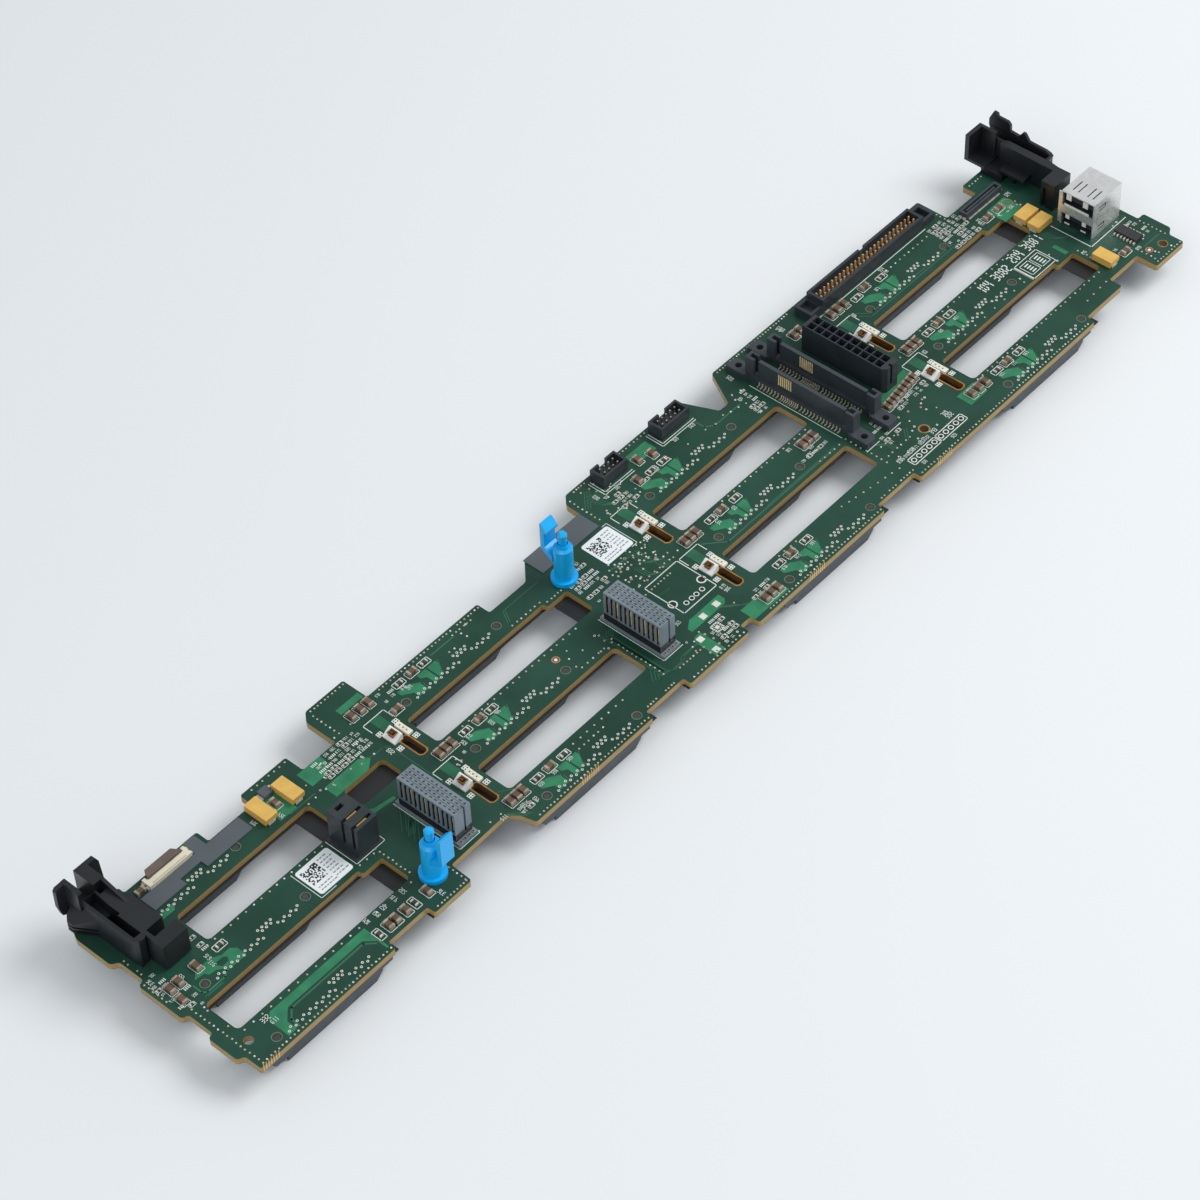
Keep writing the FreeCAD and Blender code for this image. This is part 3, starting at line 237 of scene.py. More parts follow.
def moulded(name, colour, rough=0.5, change=0.12, patch=150, gloss=0.5):
    """Moulded plastic or ceramic: slight patches of tone, uneven gloss and a fine grain."""
    material, tree, shader = new_material(name)
    tinted(tree, shader, colour, change, patch)
    glossed(tree, shader, patch * 3, rough - 0.07, rough + 0.07)
    set_inputs(shader, {"Specular IOR Level": gloss})
    bumped(tree, shader, noise(tree, 2500, 2.0), 0.35, 0.02)
    return material


def metal(name, colour, rough=0.3, change=0.1, patch=400, share=1.0):
    """Plated or rolled metal with faint patches and a brushed break-up of the gloss."""
    material, tree, shader = new_material(name)
    set_inputs(shader, {"Metallic": share})
    tinted(tree, shader, colour, change, patch)
    glossed(tree, shader, patch * 4, rough - 0.08, rough + 0.1)
    bumped(tree, shader, noise(tree, 300, 2.0), 0.03, 0.02)
    return material


def board_material():
    """Green lacquer in faint patches of tone, and layered tan glass fibre on the cut edges."""
    material, tree, shader = new_material("board_lacquer")
    set_inputs(shader, {"Specular IOR Level": 0.3})
    lacquer = ramp(tree, noise(tree, 45, 5.0),
                   [(0.3, (0.008, 0.043, 0.027)), (0.5, (0.012, 0.056, 0.036)),
                    (0.7, (0.017, 0.071, 0.047))])
    level = tree.nodes.new("ShaderNodeMapRange")
    set_inputs(level, {"From Min": board_low.z, "From Max": board_high.z})
    tree.links.new(height_of(tree), level.inputs["Value"])
    fibre = ramp(tree, level.outputs["Result"],
                 [(0.0, (0.08, 0.09, 0.02)), (0.08, (0.34, 0.225, 0.08)), (0.3, (0.43, 0.3, 0.12)),
                  (0.5, (0.34, 0.23, 0.09)), (0.72, (0.44, 0.32, 0.14)), (0.92, (0.26, 0.2, 0.06)),
                  (1.0, (0.06, 0.11, 0.03))])
    cut = blend_colours(tree, compare(tree, noise(tree, 500), "MULTIPLY", 0.5), fibre,
                        (0.3, 0.18, 0.06))
    tree.links.new(blend_colours(tree, facing_up(tree), cut, lacquer), shader.inputs["Base Color"])
    glossed(tree, shader, 300, 0.32, 0.5)
    bumped(tree, shader, noise(tree, 900), 0.2, 0.02)
    return material


def socket_material():
    """Slate plastic with a charcoal lower part."""
    material, tree, shader = new_material("link_plastic")
    slate = ramp(tree, noise(tree, 160), [(0.3, (0.15, 0.19, 0.222)), (0.7, (0.195, 0.245, 0.28))])
    high = compare(tree, height_of(tree), "GREATER_THAN", board_high.z + 4.0 * MM)
    low = compare(tree, height_of(tree), "LESS_THAN", board_high.z + 1.3 * MM)
    either = tree.nodes.new("ShaderNodeMath")
    either.operation = "MAXIMUM"
    tree.links.new(high, either.inputs[0])
    tree.links.new(low, either.inputs[1])
    tree.links.new(blend_colours(tree, either.outputs[0], (0.014, 0.017, 0.02), slate),
                   shader.inputs["Base Color"])
    glossed(tree, shader, 500, 0.38, 0.52)
    bumped(tree, shader, noise(tree, 2500), 0.3, 0.02)
    return material


looks = {
    "board_green": board_material(),
    "film_black": moulded("film", (0.01, 0.011, 0.013), 0.5, 0.2, 60),
    "moulding_black": moulded("black_plastic", (0.026, 0.033, 0.04), 0.4, 0.18),
    "contact_tin": metal("tin", (0.62, 0.58, 0.51), 0.34),
    "moulding_slate": socket_material(),
    "contact_gold": metal("gold", (0.8, 0.52, 0.17), 0.28),
    "shell_steel": metal("steel", (0.8, 0.8, 0.79), 0.3, 0.04, 120, 0.7),
    "moulding_white": moulded("white_plastic", (0.86, 0.86, 0.83), 0.4, 0.03),
    "moulding_brown": moulded("brown_plastic", (0.135, 0.1, 0.088), 0.5, 0.15),
    "latch_blue": moulded("blue_plastic", (0.002, 0.41, 0.86), 0.32, 0.06, 90),
    "capacitor_yellow": moulded("capacitor_case", (0.7, 0.43, 0.097), 0.48, 0.1, 300),
    "chip_black": moulded("chip_case", (0.022, 0.023, 0.026), 0.55, 0.15),
    "light_white": moulded("light_lens", (0.8, 0.78, 0.66), 0.25, 0.08, 500),
    "bracket_black": moulded("bracket_plastic", (0.01, 0.012, 0.015), 0.36, 0.2, 90),
    "film_grey": moulded("grey_film", (0.084, 0.102, 0.115), 0.5, 0.08, 80),
    "ceramic_brown": moulded("ceramic", (0.12, 0.078, 0.052), 0.45, 0.3, 500),
}
ring_tan = moulded("ring_tan", (0.23, 0.17, 0.075), 0.45, 0.3, 500)
peg_plastic = moulded("peg_plastic", (0.04, 0.048, 0.052), 0.5, 0.25, 500)
ivory = moulded("ivory_plastic", (0.72, 0.68, 0.53), 0.4, 0.05, 300)
dull_gold = moulded("worn_gold", (0.3, 0.225, 0.125), 0.35, 0.4, 600)
bright_gold = moulded("clean_gold", (0.86, 0.66, 0.34), 0.25, 0.2, 600)
pin_gold = moulded("pin_gold", (0.6, 0.35, 0.13), 0.35, 0.3, 600)
bay_plastic = moulded("bay_plastic", (0.06, 0.072, 0.085), 0.45, 0.12)
mask_light = moulded("lacquer_over_copper", (0.03, 0.205, 0.1), 0.38, 0.2, 200, 0.3)
mask_mid = moulded("lacquer_half_lit", (0.022, 0.12, 0.065), 0.38, 0.2, 200, 0.3)
mask_dark = moulded("lacquer_over_fibre", (0.012, 0.056, 0.036), 0.38, 0.14, 90, 0.3)
mask_trace = moulded("lacquer_over_lines", (0.04, 0.13, 0.078), 0.38, 0.12, 90, 0.3)
ink = moulded("white_ink", (0.7, 0.74, 0.7), 0.6, 0.1, 400)
solder = moulded("solder", (0.62, 0.57, 0.49), 0.3, 0.3, 900)
via_tan = moulded("via_tan", (0.5, 0.44, 0.34), 0.38, 0.3, 1200)
plug_plastic = moulded("plug_plastic", (0.04, 0.05, 0.06), 0.42, 0.15)
via_pale = moulded("via_pale", (0.7, 0.7, 0.64), 0.35, 0.15, 1200)
bare_copper = metal("plated_copper", (0.72, 0.5, 0.25), 0.38, 0.2, 600)
terminal = moulded("cap_terminal", (0.36, 0.285, 0.22), 0.4, 0.35, 700)
routed = moulded("routed_edge", (0.36, 0.165, 0.028), 0.5, 0.3, 300)
# The routed edge's brown at about half its brightness: painted shade for walls down in slots and holes
routed_wall_painted_shade = moulded("routed_wall_painted_shade", (0.16, 0.075, 0.02), 0.5, 0.3, 300)
# Near black for printed dots and marks, and for painted shade in holes, slits, slots and grooves
dark = moulded("dark_print_and_painted_shade", (0.01, 0.011, 0.012), 0.7, 0.2)
label_white = moulded("label_paper", (0.8, 0.85, 0.86), 0.5, 0.02, 120)
label_grey = moulded("label_print", (0.26, 0.26, 0.27), 0.7, 0.15, 400)
resistor_body = moulded("resistor_body", (0.045, 0.048, 0.052), 0.45, 0.2, 500)

slots = {part["node"]: part["material_slot"] for part in frame["record"]["subparts"]}
# Looks that are not those of the slot, by the start of a node's name; the last that fits counts
own_looks = (("bay_", bay_plastic), ("link_contacts", dull_gold), ("flat_connector", ivory),
             ("slim_connector", plug_plastic), ("drive_plug_", plug_plastic),
             ("drive_plug_contacts", bright_gold), ("capacitor_shoes", solder),
             ("ribbon_header_pins", pin_gold))
for name, node in nodes.items():
    look = looks[slots[name]]
    for start, own in own_looks:
        if name.startswith(start):
            look = own
    node.data.materials.clear()
    node.data.materials.append(look)


# Shapes


def rectangle(x0, y0, x1, y1):
    return [(x0, y0), (x1, y0), (x1, y1), (x0, y1)]


def moved(points, x, y):
    return [(x + u, y + v) for u, v in points]


def scaled(points, x, y, factor_x, factor_y):
    """Points drawn away from a middle or towards it."""
    return [(x + (u - x) * factor_x, y + (v - y) * factor_y) for u, v in points]


class Shapes:
    """Collects small solids and flat marks that become one piece."""

    def __init__(self):
        self.points = []
        self.faces = []

    def prism(self, outline, low, high, inset=0.0):
        """An upright prism over an outline; its top may be drawn in towards the middle."""
        area = sum(a[0] * b[1] - b[0] * a[1] for a, b in zip(outline, outline[1:] + outline[:1]))
        if area < 0:
            outline = outline[::-1]
        count = len(outline)
        middle_x = sum(x for x, _ in outline) / count
        middle_y = sum(y for _, y in outline) / count
        start = len(self.points)
        self.points += [at(x, y, low) for x, y in outline]
        self.points += [at(x + (middle_x - x) * inset, y + (middle_y - y) * inset, high)
                        for x, y in outline]
        self.faces.append([start + count + index for index in range(count)])
        self.faces.append([start + count - 1 - index for index in range(count)])
        for index in range(count):
            after = (index + 1) % count
            self.faces.append([start + index, start + after, start + count + after,
                               start + count + index])

    def slab(self, x, y, length, width, low, high, inset=0.0):
        """A prism over a rectangle given by its middle and its sides."""
        a, b = length / 2, width / 2
        self.prism(rectangle(x - a, y - b, x + a, y + b), low, high, inset)

    def disc(self, x, y, radius, low, high, sides=12, inset=0.0):
        self.prism([(x + radius * math.cos(2 * math.pi * turn / sides),
                     y + radius * math.sin(2 * math.pi * turn / sides)) for turn in range(sides)],
                   low, high, inset)

    def ring(self, x, y, inner, outer, low, high, sides=20):
        """A flat ring, as a row of short blocks round its middle."""
        angles = [2 * math.pi * turn / sides for turn in range(sides)]
        corners = [(math.cos(angle), math.sin(angle)) for angle in angles]
        for (c0, s0), (c1, s1) in zip(corners, corners[1:] + corners[:1]):
            self.prism([(x + inner * c0, y + inner * s0), (x + outer * c0, y + outer * s0),
                        (x + outer * c1, y + outer * s1), (x + inner * c1, y + inner * s1)],
                       low, high)

    def ridge(self, x0, x1, thin, tall, low, high):
        """A wedge that rises from nothing at one y to its full height at another."""
        start = len(self.points)
        for x in (x0, x1):
            self.points += [at(x, thin, low), at(x, tall, low), at(x, tall, high)]
        self.faces += [[start + corner for corner in face]
                       for face in ((0, 2, 1), (3, 4, 5), (0, 1, 4, 3), (1, 2, 5, 4), (0, 3, 5, 2))]

    def stroke(self, points, width, low, high):
        """A line of even width through a row of points."""
        for (x0, y0), (x1, y1) in zip(points, points[1:]):
            length = math.hypot(x1 - x0, y1 - y0)
            ux, uy = (x1 - x0) / length * width / 2, (y1 - y0) / length * width / 2
            self.prism([(x0 - ux + uy, y0 - uy - ux), (x1 + ux + uy, y1 + uy - ux),
                        (x1 + ux - uy, y1 + uy + ux), (x0 - ux - uy, y0 - uy + ux)], low, high)

    def piece(self, name, slot, look=None, body="board"):
        """Makes one piece of what was collected, with the look of its slot or another one."""
        mesh = bpy.data.meshes.new(name)
        mesh.from_pydata(self.points, [], self.faces)
        mesh.materials.append(look or looks[slot])
        mesh.update()
        piece = new_object(name, mesh)
        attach(piece, body)


def islands(name):
    """Low and high corners, from the datum, of each separate solid of a node."""
    source = bmesh.new()
    source.from_mesh(nodes[name].data)
    bmesh.ops.remove_doubles(source, verts=source.verts, dist=1e-6)
    left = set(source.verts)
    boxes = []
    while left:
        queue = [left.pop()]
        found = []
        while queue:
            vertex = queue.pop()
            found.append(from_datum(vertex.co))
            for edge in vertex.link_edges:
                other = edge.other_vert(vertex)
                if other in left:
                    left.remove(other)
                    queue.append(other)
        low = [min(point[axis] for point in found) for axis in range(3)]
        high = [max(point[axis] for point in found) for axis in range(3)]
        boxes.append((low, high))
    source.free()
    return sorted(boxes)


board_tree = BVHTree.FromObject(nodes["circuit_board"], bpy.context.evaluated_depsgraph_get())


def on_board(x, y, margin=0.8):
    """Whether the board's top face lies under a spot and round it."""
    for step_x, step_y in ((0, 0), (margin, 0), (-margin, 0), (0, margin), (0, -margin)):
        spot, _, _, _ = board_tree.ray_cast(at(x + step_x, y + step_y, 1), Vector((0, 0, -1)))
        if spot is None or spot.z < board_high.z - 0.1 * MM:
            return False
    return True


def all_on_board(points):
    """Whether the board carries every part of a row of points."""
    for (x0, y0), (x1, y1) in zip(points, points[1:]):
        steps = max(1, round(math.hypot(x1 - x0, y1 - y0) / 0.7))
        for step in range(steps + 1):
            if not on_board(x0 + (x1 - x0) * step / steps, y0 + (y1 - y0) * step / steps, 0.3):
                return False
    return True


# Copper areas and lines under the lacquer

POUR_OUTLINES = (
    ((2.4, -2.2), (41.2, -2.2), (41.2, 7.3), (4.6, 7.3), (2.4, 5.2)),
    ((-1, 30.4), (1.4, 32.6), (6.8, 32.6), (9.6, 30.9), (12.8, 30.9), (14.2, 29.4), (14.2, 26.5),
     (7.4, 26.5), (5.2, 28.4), (2.8, 28.8), (2.2, 30)), ((8, 52), (12.4, 52), (14, 54), (8, 54)),
    ((68.3, 53.6), (74.5, 53.6), (77.6, 57.6), (77.6, 60), (68.3, 60)),
    ((70, 45.6), (83, 45.6), (86.5, 48.2), (84, 50.6), (70, 50.6)),
    ((72.2, 33.2), (80.4, 32.2), (80.4, 33.4), (73.6, 34.6), (72.2, 35.6)),
    ((182, 8.6), (197, 8.6), (198.4, 10), (198.4, 12.4), (185, 12.4), (182, 10.4)),
    ((179.4, -2.8), (183.4, -2.8), (183.4, 6.8), (180.6, 6.8), (179.4, 5.6)),
    ((293, 24.6), (309.5, 24.6), (309.5, 29.5), (293, 27.8)))
POUR_AREAS = (
    (53.6, 51.6, 60, 62), (92.8, 66, 102, 68.4), (197.5, -2.4, 213.5, 3.2), (310.2, 3.2, 318.5, 9),
    (224, 66.6, 233.5, 71.5), (386, 46.5, 395.5, 54.5), (385.4, 22, 387, 27.5))
COLUMN_POURS = (
    ((0, 4.6), (3.4, 4.6), (7, 2.4), (7, -1.4), (3.2, -1.4), (3.2, 0.8), (0, 2.8)),
    ((8.4, 4.6), (12, 4.6), (12, -1.4), (10, -1.4), (10, 2), (8.4, 3)),
    ((12.6, 4.6), (16.2, 4.6), (16.2, 3), (14.2, -0.6), (12.6, -0.6)))
COLUMN_LINES = (((4, 4.4), (7.6, 1.8), (7.6, -1.2)), ((17, 4.4), (14.8, 0.6), (14.8, -1.2)))
SHORT_LINES = (
    (150.2, 53, 152.6, 57.3, 2), (163.4, 4.2, 163.4, 28, 3), (95, 4.6, 99.5, -0.5, 3),
    (204, 66, 208, 69.6, 5), (186, 25.6, 189.6, 25.6, 3), (72.5, 20, 78, 25.4, 4),
    (163.4, 25.6, 166.4, 28.6, 4), (396, 26, 396, 33.5, 2))
LONG_LINES = (
    (0.25, ((152.6, 57.3), (168, 57.3))), (0.5, ((250, 66), (250, 61.2), (252.6, 59.2), (264.5, 59.2))),
    (0.5, ((211, 29.5), (217, 24), (268, 24))), (0.3, ((320, 57.5), (323.4, 53.4), (366, 53.4))),
    (0.3, ((320, 55.5), (322.6, 52.3), (368, 52.3))))
LINE_BUNDLES = (
    (((203.6, 69.6), (203.6, 64.2), (206.4, 61.4)), 4, 0.8), (((199.6, 66), (205, 71.4)), 3, 0.8),
    (((164.9, 26), (164.9, 5), (166.4, 3.5), (171, 3.5), (172.3, 4.8), (183, 4.8)), 2, 0.8),
    (((193.6, 44.6), (193.6, 38.4), (196.4, 35.6), (196.4, 31.8)), 5, 0.8),
    (((185.4, 43.6), (192.4, 43.6)), 3, 0.8), (((190.5, 38.5), (190.5, 34.2), (193, 32)), 3, 0.8),
    (((72.6, 17.6), (77.8, 23.4)), 3, 1.2), (((72.6, 22.6), (77.8, 28.4)), 3, 1.2),
    (((84, 50.4), (87.2, 48.2), (91.8, 48.2), (93.2, 46), (93.2, 24)), 1, 0),
    (((126, 61.9), (135.4, 61.9)), 2, 0.5), (((194.4, 9), (197.8, 5.6), (200.4, 3.6)), 3, 0.9),
    (((193.4, 5.6), (197, 2), (197, -2)), 2, 0.9), (((160, 5), (162.6, 8.2)), 3, 0.9),
    (((276.4, 16), (279.4, 12.6), (279.4, 9.6)), 3, 0.8), (((284.6, 9), (288.4, 12.8)), 2, 0.8),
    (((376, 66), (372.6, 62.8), (366, 62.8)), 2, 0.7), (((248.4, 71.8), (248.4, 66.8)), 4, 0.8),
    (((236.4, 24.6), (268.6, 24.6)), 1, 0), (((57, 51.4), (66.4, 51.4)), 2, 0.4),
    (((-10.2, 43), (-10.2, 28), (-7.6, 25.2)), 1, 0), (((3, 24.2), (-3, 24.2)), 2, 0.7),
    (((98.8, 40.6), (102.2, 37.4), (109, 37.4)), 2, 0.6), (((99.6, 12), (104.4, 8.6)), 2, 0.8),
    (((388.6, 34), (388.6, 30), (391, 27.6)), 3, 0.8), (((404, 4.6), (412, 4.6)), 2, 0.6))

pours = Shapes()
islets = Shapes()
lines = Shapes()
for outline in POUR_OUTLINES:
    pours.prism(outline, 0, POUR)
for x0, y0, x1, y1 in POUR_AREAS:
    pours.prism(rectangle(x0, y0, x1, y1), 0, POUR)
pours.stroke([(-2.6, 29.2), (-2.6, 26), (-1.4, 24.9), (5.2, 24.9), (6.8, 26.1), (14, 26.1)],
             0.5, 0, POUR)
islets.prism([(5.5, -2.2), (40.4, -2.2), (40.4, 1.5), (37.6, 4.6), (8.9, 4.6), (5.5, 1.5)],
             POUR, POUR_OVER)
islets.prism([(6, 30.2), (7.2, 28), (9.6, 28), (10.4, 29.4), (9.2, 30.2)], POUR, POUR_OVER)
lines.stroke([(6.6, -2.1), (6.6, 1), (9.4, 3.7), (37.2, 3.7), (39.6, 1.2)], 0.6, POUR_OVER,
             POUR_OVER + 0.01)

# The copper between each row of small parts and a receptacle's rows of vias
for column in (1, 2, 3):
    for row in (0, 1, 2):
        x, y = column * COLUMN + 1, row * ROW
        for outline in COLUMN_POURS:
            pours.prism(moved(outline, x, y), 0, POUR)
        for points in COLUMN_LINES:
            lines.stroke(moved(points, x, y), 0.28, 0, TRACE)
for x0, y0, x1, y1, count in SHORT_LINES:
    for index in range(count):
        shift = 0.75 * index
        lines.stroke(moved(((x0, y0), (x1, y1)), shift, -0.2 * shift), LINE, 0, TRACE)
for width, points in LONG_LINES:
    lines.stroke(points, width, 0, TRACE)
for points, count, gap in LINE_BUNDLES:
    for index in range(count):
        path = moved(points, index * gap, -0.5 * index * gap)
        if all_on_board(path):
            lines.stroke(path, LINE, 0, TRACE)
pours.piece("copper_pours", "board_green", mask_light)
islets.piece("copper_islets", "board_green", mask_dark)
lines.piece("copper_lines", "board_green", mask_trace)

# Vias: tinned dots under the receptacles, and stitching along the edges

tan_vias = Shapes()
pale_vias = Shapes()
via_hole_shade = Shapes()


def via(x, y, radius=0.45, pale=0.15):
    """A tinned dot, with a dark disc of painted shade for the hole in the middle of the larger ones."""
    if not on_board(x, y):
        return
    chosen = pale_vias if dice.random() < pale else tan_vias
    chosen.disc(x, y, radius, 0, VIA, 10, 0.1)
    if radius > 0.36:
        via_hole_shade.disc(x, y, radius * 0.42, VIA, VIA + 0.01, 8)


def stitch(x0, y0, x1, y1, pitch, sway=0.18):
    """A line of vias, with a little sway from the straight."""
    count = max(1, round(math.hypot(x1 - x0, y1 - y0) / pitch))
    for index in range(count + 1):
        share = index / count
        via(x0 + (x1 - x0) * share + dice.uniform(-sway, sway),
            y0 + (y1 - y0) * share + dice.uniform(-sway, sway) * 0.4, 0.31)


for column in range(4):
    for row in range(3):
        x, y = column * COLUMN, row * ROW
        for index in range(15):
            via(x + 3.5 + 1.257 * index, y - (0.45 if index % 2 else 1.3), pale=1)
        for index in range(7):
            via(x + 27.5 + 1.25 * index, y - (1.3 if index % 2 else 0.45), pale=1)
            via(x + 21.9 + 0.82 * index, y + (0.8 if index % 2 else 1.8), pale=1)

STITCHES = (
    (-8.3, -3.1, 41, -3.1, 1.5), (60, -3.1, 71.4, -3.1, 1.3), (102, -3.1, 148.5, -3.1, 1.45),
    (169, -3.1, 191.5, -3.1, 1.7), (204, -3.1, 256.5, -3.1, 1.45), (277, -3.1, 363, -3.1, 1.5),
    (401.5, -3.1, 413.5, -3.1, 1.5), (151.6, -0.2, 163.5, -0.2, 1.4), (260.5, -0.2, 276, -0.2, 1.4),
    (367, -0.1, 382.5, -0.1, 1.4), (-8.3, -1.5, -8.3, 24, 1.7), (-5.8, 11, -5.8, 22, 1.6),
    (-4, 8.3, 61, 8.3, 3.4), (-11, 31, -11, 41.5, 1.7), (-9, 43, -9, 50, 1.8),
    (9.5, 36.3, 54.5, 36.3, 3), (63.4, 11, 63.4, 34, 1.7), (74, 7, 95, 5.6, 4.2),
    (71.6, -2.5, 71.6, 5.5, 1.5), (56.4, 23.4, 62, 23.4, 3), (56.2, 66, 69.6, 66, 2.3),
    (71.5, 61.5, 92, 61.5, 6), (88, 73.8, 101.4, 73.8, 1.5), (87.3, 61.6, 87.3, 72, 1.8),
    (102, 69, 102, 72.6, 1.6), (105, 64.3, 137, 64, 1.6), (140, 64, 149, 64, 1.6),
    (136, 62.3, 144, 62.3, 1.5), (63.3, 37.5, 63.3, 47.6, 2.6), (101.6, 25.4, 102.2, 36, 4),
    (112, 36, 161, 36, 2.7), (150.2, 51.2, 162, 51.2, 2), (164, 49.6, 170, 49.6, 1.6),
    (164.2, 4.4, 164.2, 22, 1.7), (118, 7, 149, 7, 3.2), (127, 4.5, 137.5, 4.5, 2.2),
    (160.4, 24.4, 151, 24.4, 2.4), (201.6, 32.6, 213, 36, 3), (184.6, 29, 196, 29, 1.5),
    (184, 33, 198, 33, 2.2), (186, 41.8, 199, 41.8, 2.4), (199.2, 60, 199.2, 72, 1.7),
    (203, 73.9, 207.8, 73.9, 1.3), (271.5, 73.9, 306, 73.9, 1.35), (222.5, 73.9, 236, 73.9, 1.6),
    (229, 36.3, 269, 36.3, 2.7), (250, 6.8, 274, 3.4, 3), (216, 60.2, 266, 60.2, 8),
    (222, 8.4, 230, 8.4, 2.6), (273.6, 8, 273.6, 24, 1.9), (321, 36.2, 385, 36.2, 2.9),
    (320.5, 8.6, 385, 8.6, 2.6), (389.4, 8, 389.4, 20, 1.7), (338, 62.1, 366, 62.1, 2.4),
    (391.5, 66.6, 399, 66.6, 1.4), (414, -2, 414, 13, 1.7), (402, -1.6, 402, 3.6, 1.6),
    (374.6, 63, 374.6, 73, 1.8), (324, 24, 366, 24.4, 5), (276, 9.3, 287, 9.3, 2.2),
    (277.6, 13.4, 286.4, 13.4, 2), (372, 3.5, 383, 4.2, 3.4), (169, 2.3, 178, 2.3, 1.4),
    (266.5, 60, 266.5, 48, 1.9), (261, 24, 270.5, 24, 2.4), (310, 33.5, 316, 33.5, 2.5))
for seam in STITCHES:
    stitch(*seam)
VIA_CLOUDS = (
    (184, 32, 202, 46, 62), (206, 58, 216, 72, 14), (62, 48, 90, 58, 26), (100, 22, 104, 36, 5),
    (150, 22, 165, 34, 12), (276, 5, 308, 22, 22), (176, -2, 200, 8, 18), (386, 44, 398, 52, 10),
    (366, 20, 386, 30, 8), (404, -2, 412, 24, 14), (250, 58, 270, 64, 8), (130, 58, 148, 64, 6),
    (202, 56, 214, 72, 14))
for x0, y0, x1, y1, count in VIA_CLOUDS:
    for _ in range(count):
        via(dice.uniform(x0, x1), dice.uniform(y0, y1), dice.uniform(0.28, 0.42), 0.5)
tan_vias.piece("tan_vias", "contact_tin", via_tan)
pale_vias.piece("pale_vias", "contact_tin", via_pale)
# Dark discs: painted shade in the open via holes
via_hole_shade.piece("via_hole_shade", "chip_black", dark)

# Slots beside the light holders: brown routed rims, and walls in a darker brown painted as the shade
# down in the slot

rims = Shapes()
walls = Shapes()
for column in (1, 2, 3):
    for low in (10.1, ROW + 10.2):
        x, end = column * COLUMN - 10.4, low + SLOT_LENGTH
        outline = [(x - SLOT_CUT, low), (x + SLOT_CUT, low), (x + SLOT_HALF, low + SLOT_CUT),
                   (x + SLOT_HALF, end - SLOT_CUT), (x + SLOT_CUT, end), (x - SLOT_CUT, end),
                   (x - SLOT_HALF, end - SLOT_CUT), (x - SLOT_HALF, low + SLOT_CUT)]
        outside = scaled(outline, x, (low + end) / 2, 1.24, 1.08)
        inside = scaled(outline, x, (low + end) / 2, 0.94, 0.98)
        for here in range(8):
            after = (here + 1) % 8
            edge = [outline[here], outline[after]]
            rims.prism(edge + [outside[after], outside[here]], 0, POUR)
            walls.prism(edge + [inside[after], inside[here]], -board_thick, POUR)
rims.piece("slot_rims", "board_green", routed)
# The slot walls carry the darker brown: painted shade inside the slot
walls.piece("slot_walls", "board_green", routed_wall_painted_shade)

# Plated rings round holes and pegs

rings = Shapes()
peg_tops = Shapes()
for column in range(4):
    for row in range(3):
        for far in (0, PEG_SPACING):
            rings.ring(column * COLUMN + far, row * ROW, 1.32, 1.62, 0, TRACE, 16)
            peg_tops.disc(column * COLUMN + far, row * ROW, 1.08, -0.65, -0.2, 12)
peg_tops.piece("peg_tops", "moulding_black", peg_plastic)
rings.piece("peg_rings", "board_green", moulded("ring_lacquer", (0.11, 0.15, 0.1), 0.5, 0.2))
plated = Shapes()
pit = Shapes()
linings = Shapes()
for x, y, outer in ((3 * COLUMN - 32.4, 8.1, 2), (3 * COLUMN + 84.6, 0.7, 1.75),
                    (3 * COLUMN + 69.1, 52, 1.95)):
    plated.ring(x, y, 1.5, outer, 0, TRACE, 24)
    # Linings in the darker routed brown: painted shade down in the holes
    linings.ring(x, y, 1.42, 1.5, -board_thick, TRACE, 24)
# Dark discs fill these two holes: painted shade in place of the open hole
for x in (COLUMN + 78.4, COLUMN + 91.6):
    pit.disc(x, 20.2, 1.12, -board_thick, TRACE, 20)
plated.piece("hole_rings", "board_green", ring_tan)
linings.piece("hole_linings", "board_green", routed_wall_painted_shade)
pit.piece("hole_pit_shade", "chip_black", dark)

# White ink, and the small parts that stand in inked frames

SEGMENTS = {
    "0": "abcdef", "1": "bc", "2": "abged", "3": "abgcd", "4": "fgbc", "5": "afgcd",
    "6": "afgedc", "7": "abc", "8": "abcdefg", "9": "abcdfg"}
NUMERAL_PITCH = 0.6
NUMERAL_WIDTH = 0.34
STROKES = {
    "a": ((0, 2), (1, 2)), "b": ((1, 2), (1, 1)), "c": ((1, 1), (1, 0)), "d": ((0, 0), (1, 0)),
    "e": ((0, 1), (0, 0)), "f": ((0, 2), (0, 1)), "g": ((0, 1), (1, 1))}

print_marks = Shapes()
chip_bodies = Shapes()
chip_ends = Shapes()
ceramic_bodies = Shapes()
ceramic_ends = Shapes()
white_pads = Shapes()
pad_dots = Shapes()


def inked(points, width=0.22):
    print_marks.stroke(points, width, 0, INK)


def ink_frame(x0, y0, x1, y1, width=0.22):
    corners = rectangle(x0, y0, x1, y1)
    inked(corners + corners[:1], width)


def numerals(text, x, y, height, upright=True, weight=0.13):
    """Plain numerals from straight strokes, read along +X or, when not upright, along +Y."""
    for place, sign in enumerate(text):
        for letter in SEGMENTS.get(sign, ""):
            points = []
            for u, v in STROKES[letter]:
                along = (place * NUMERAL_PITCH + u * NUMERAL_WIDTH) * height
                across = v * height / 2
                points.append((x + along, y + across) if upright else (x - across, y + along))
            inked(points, height * weight)


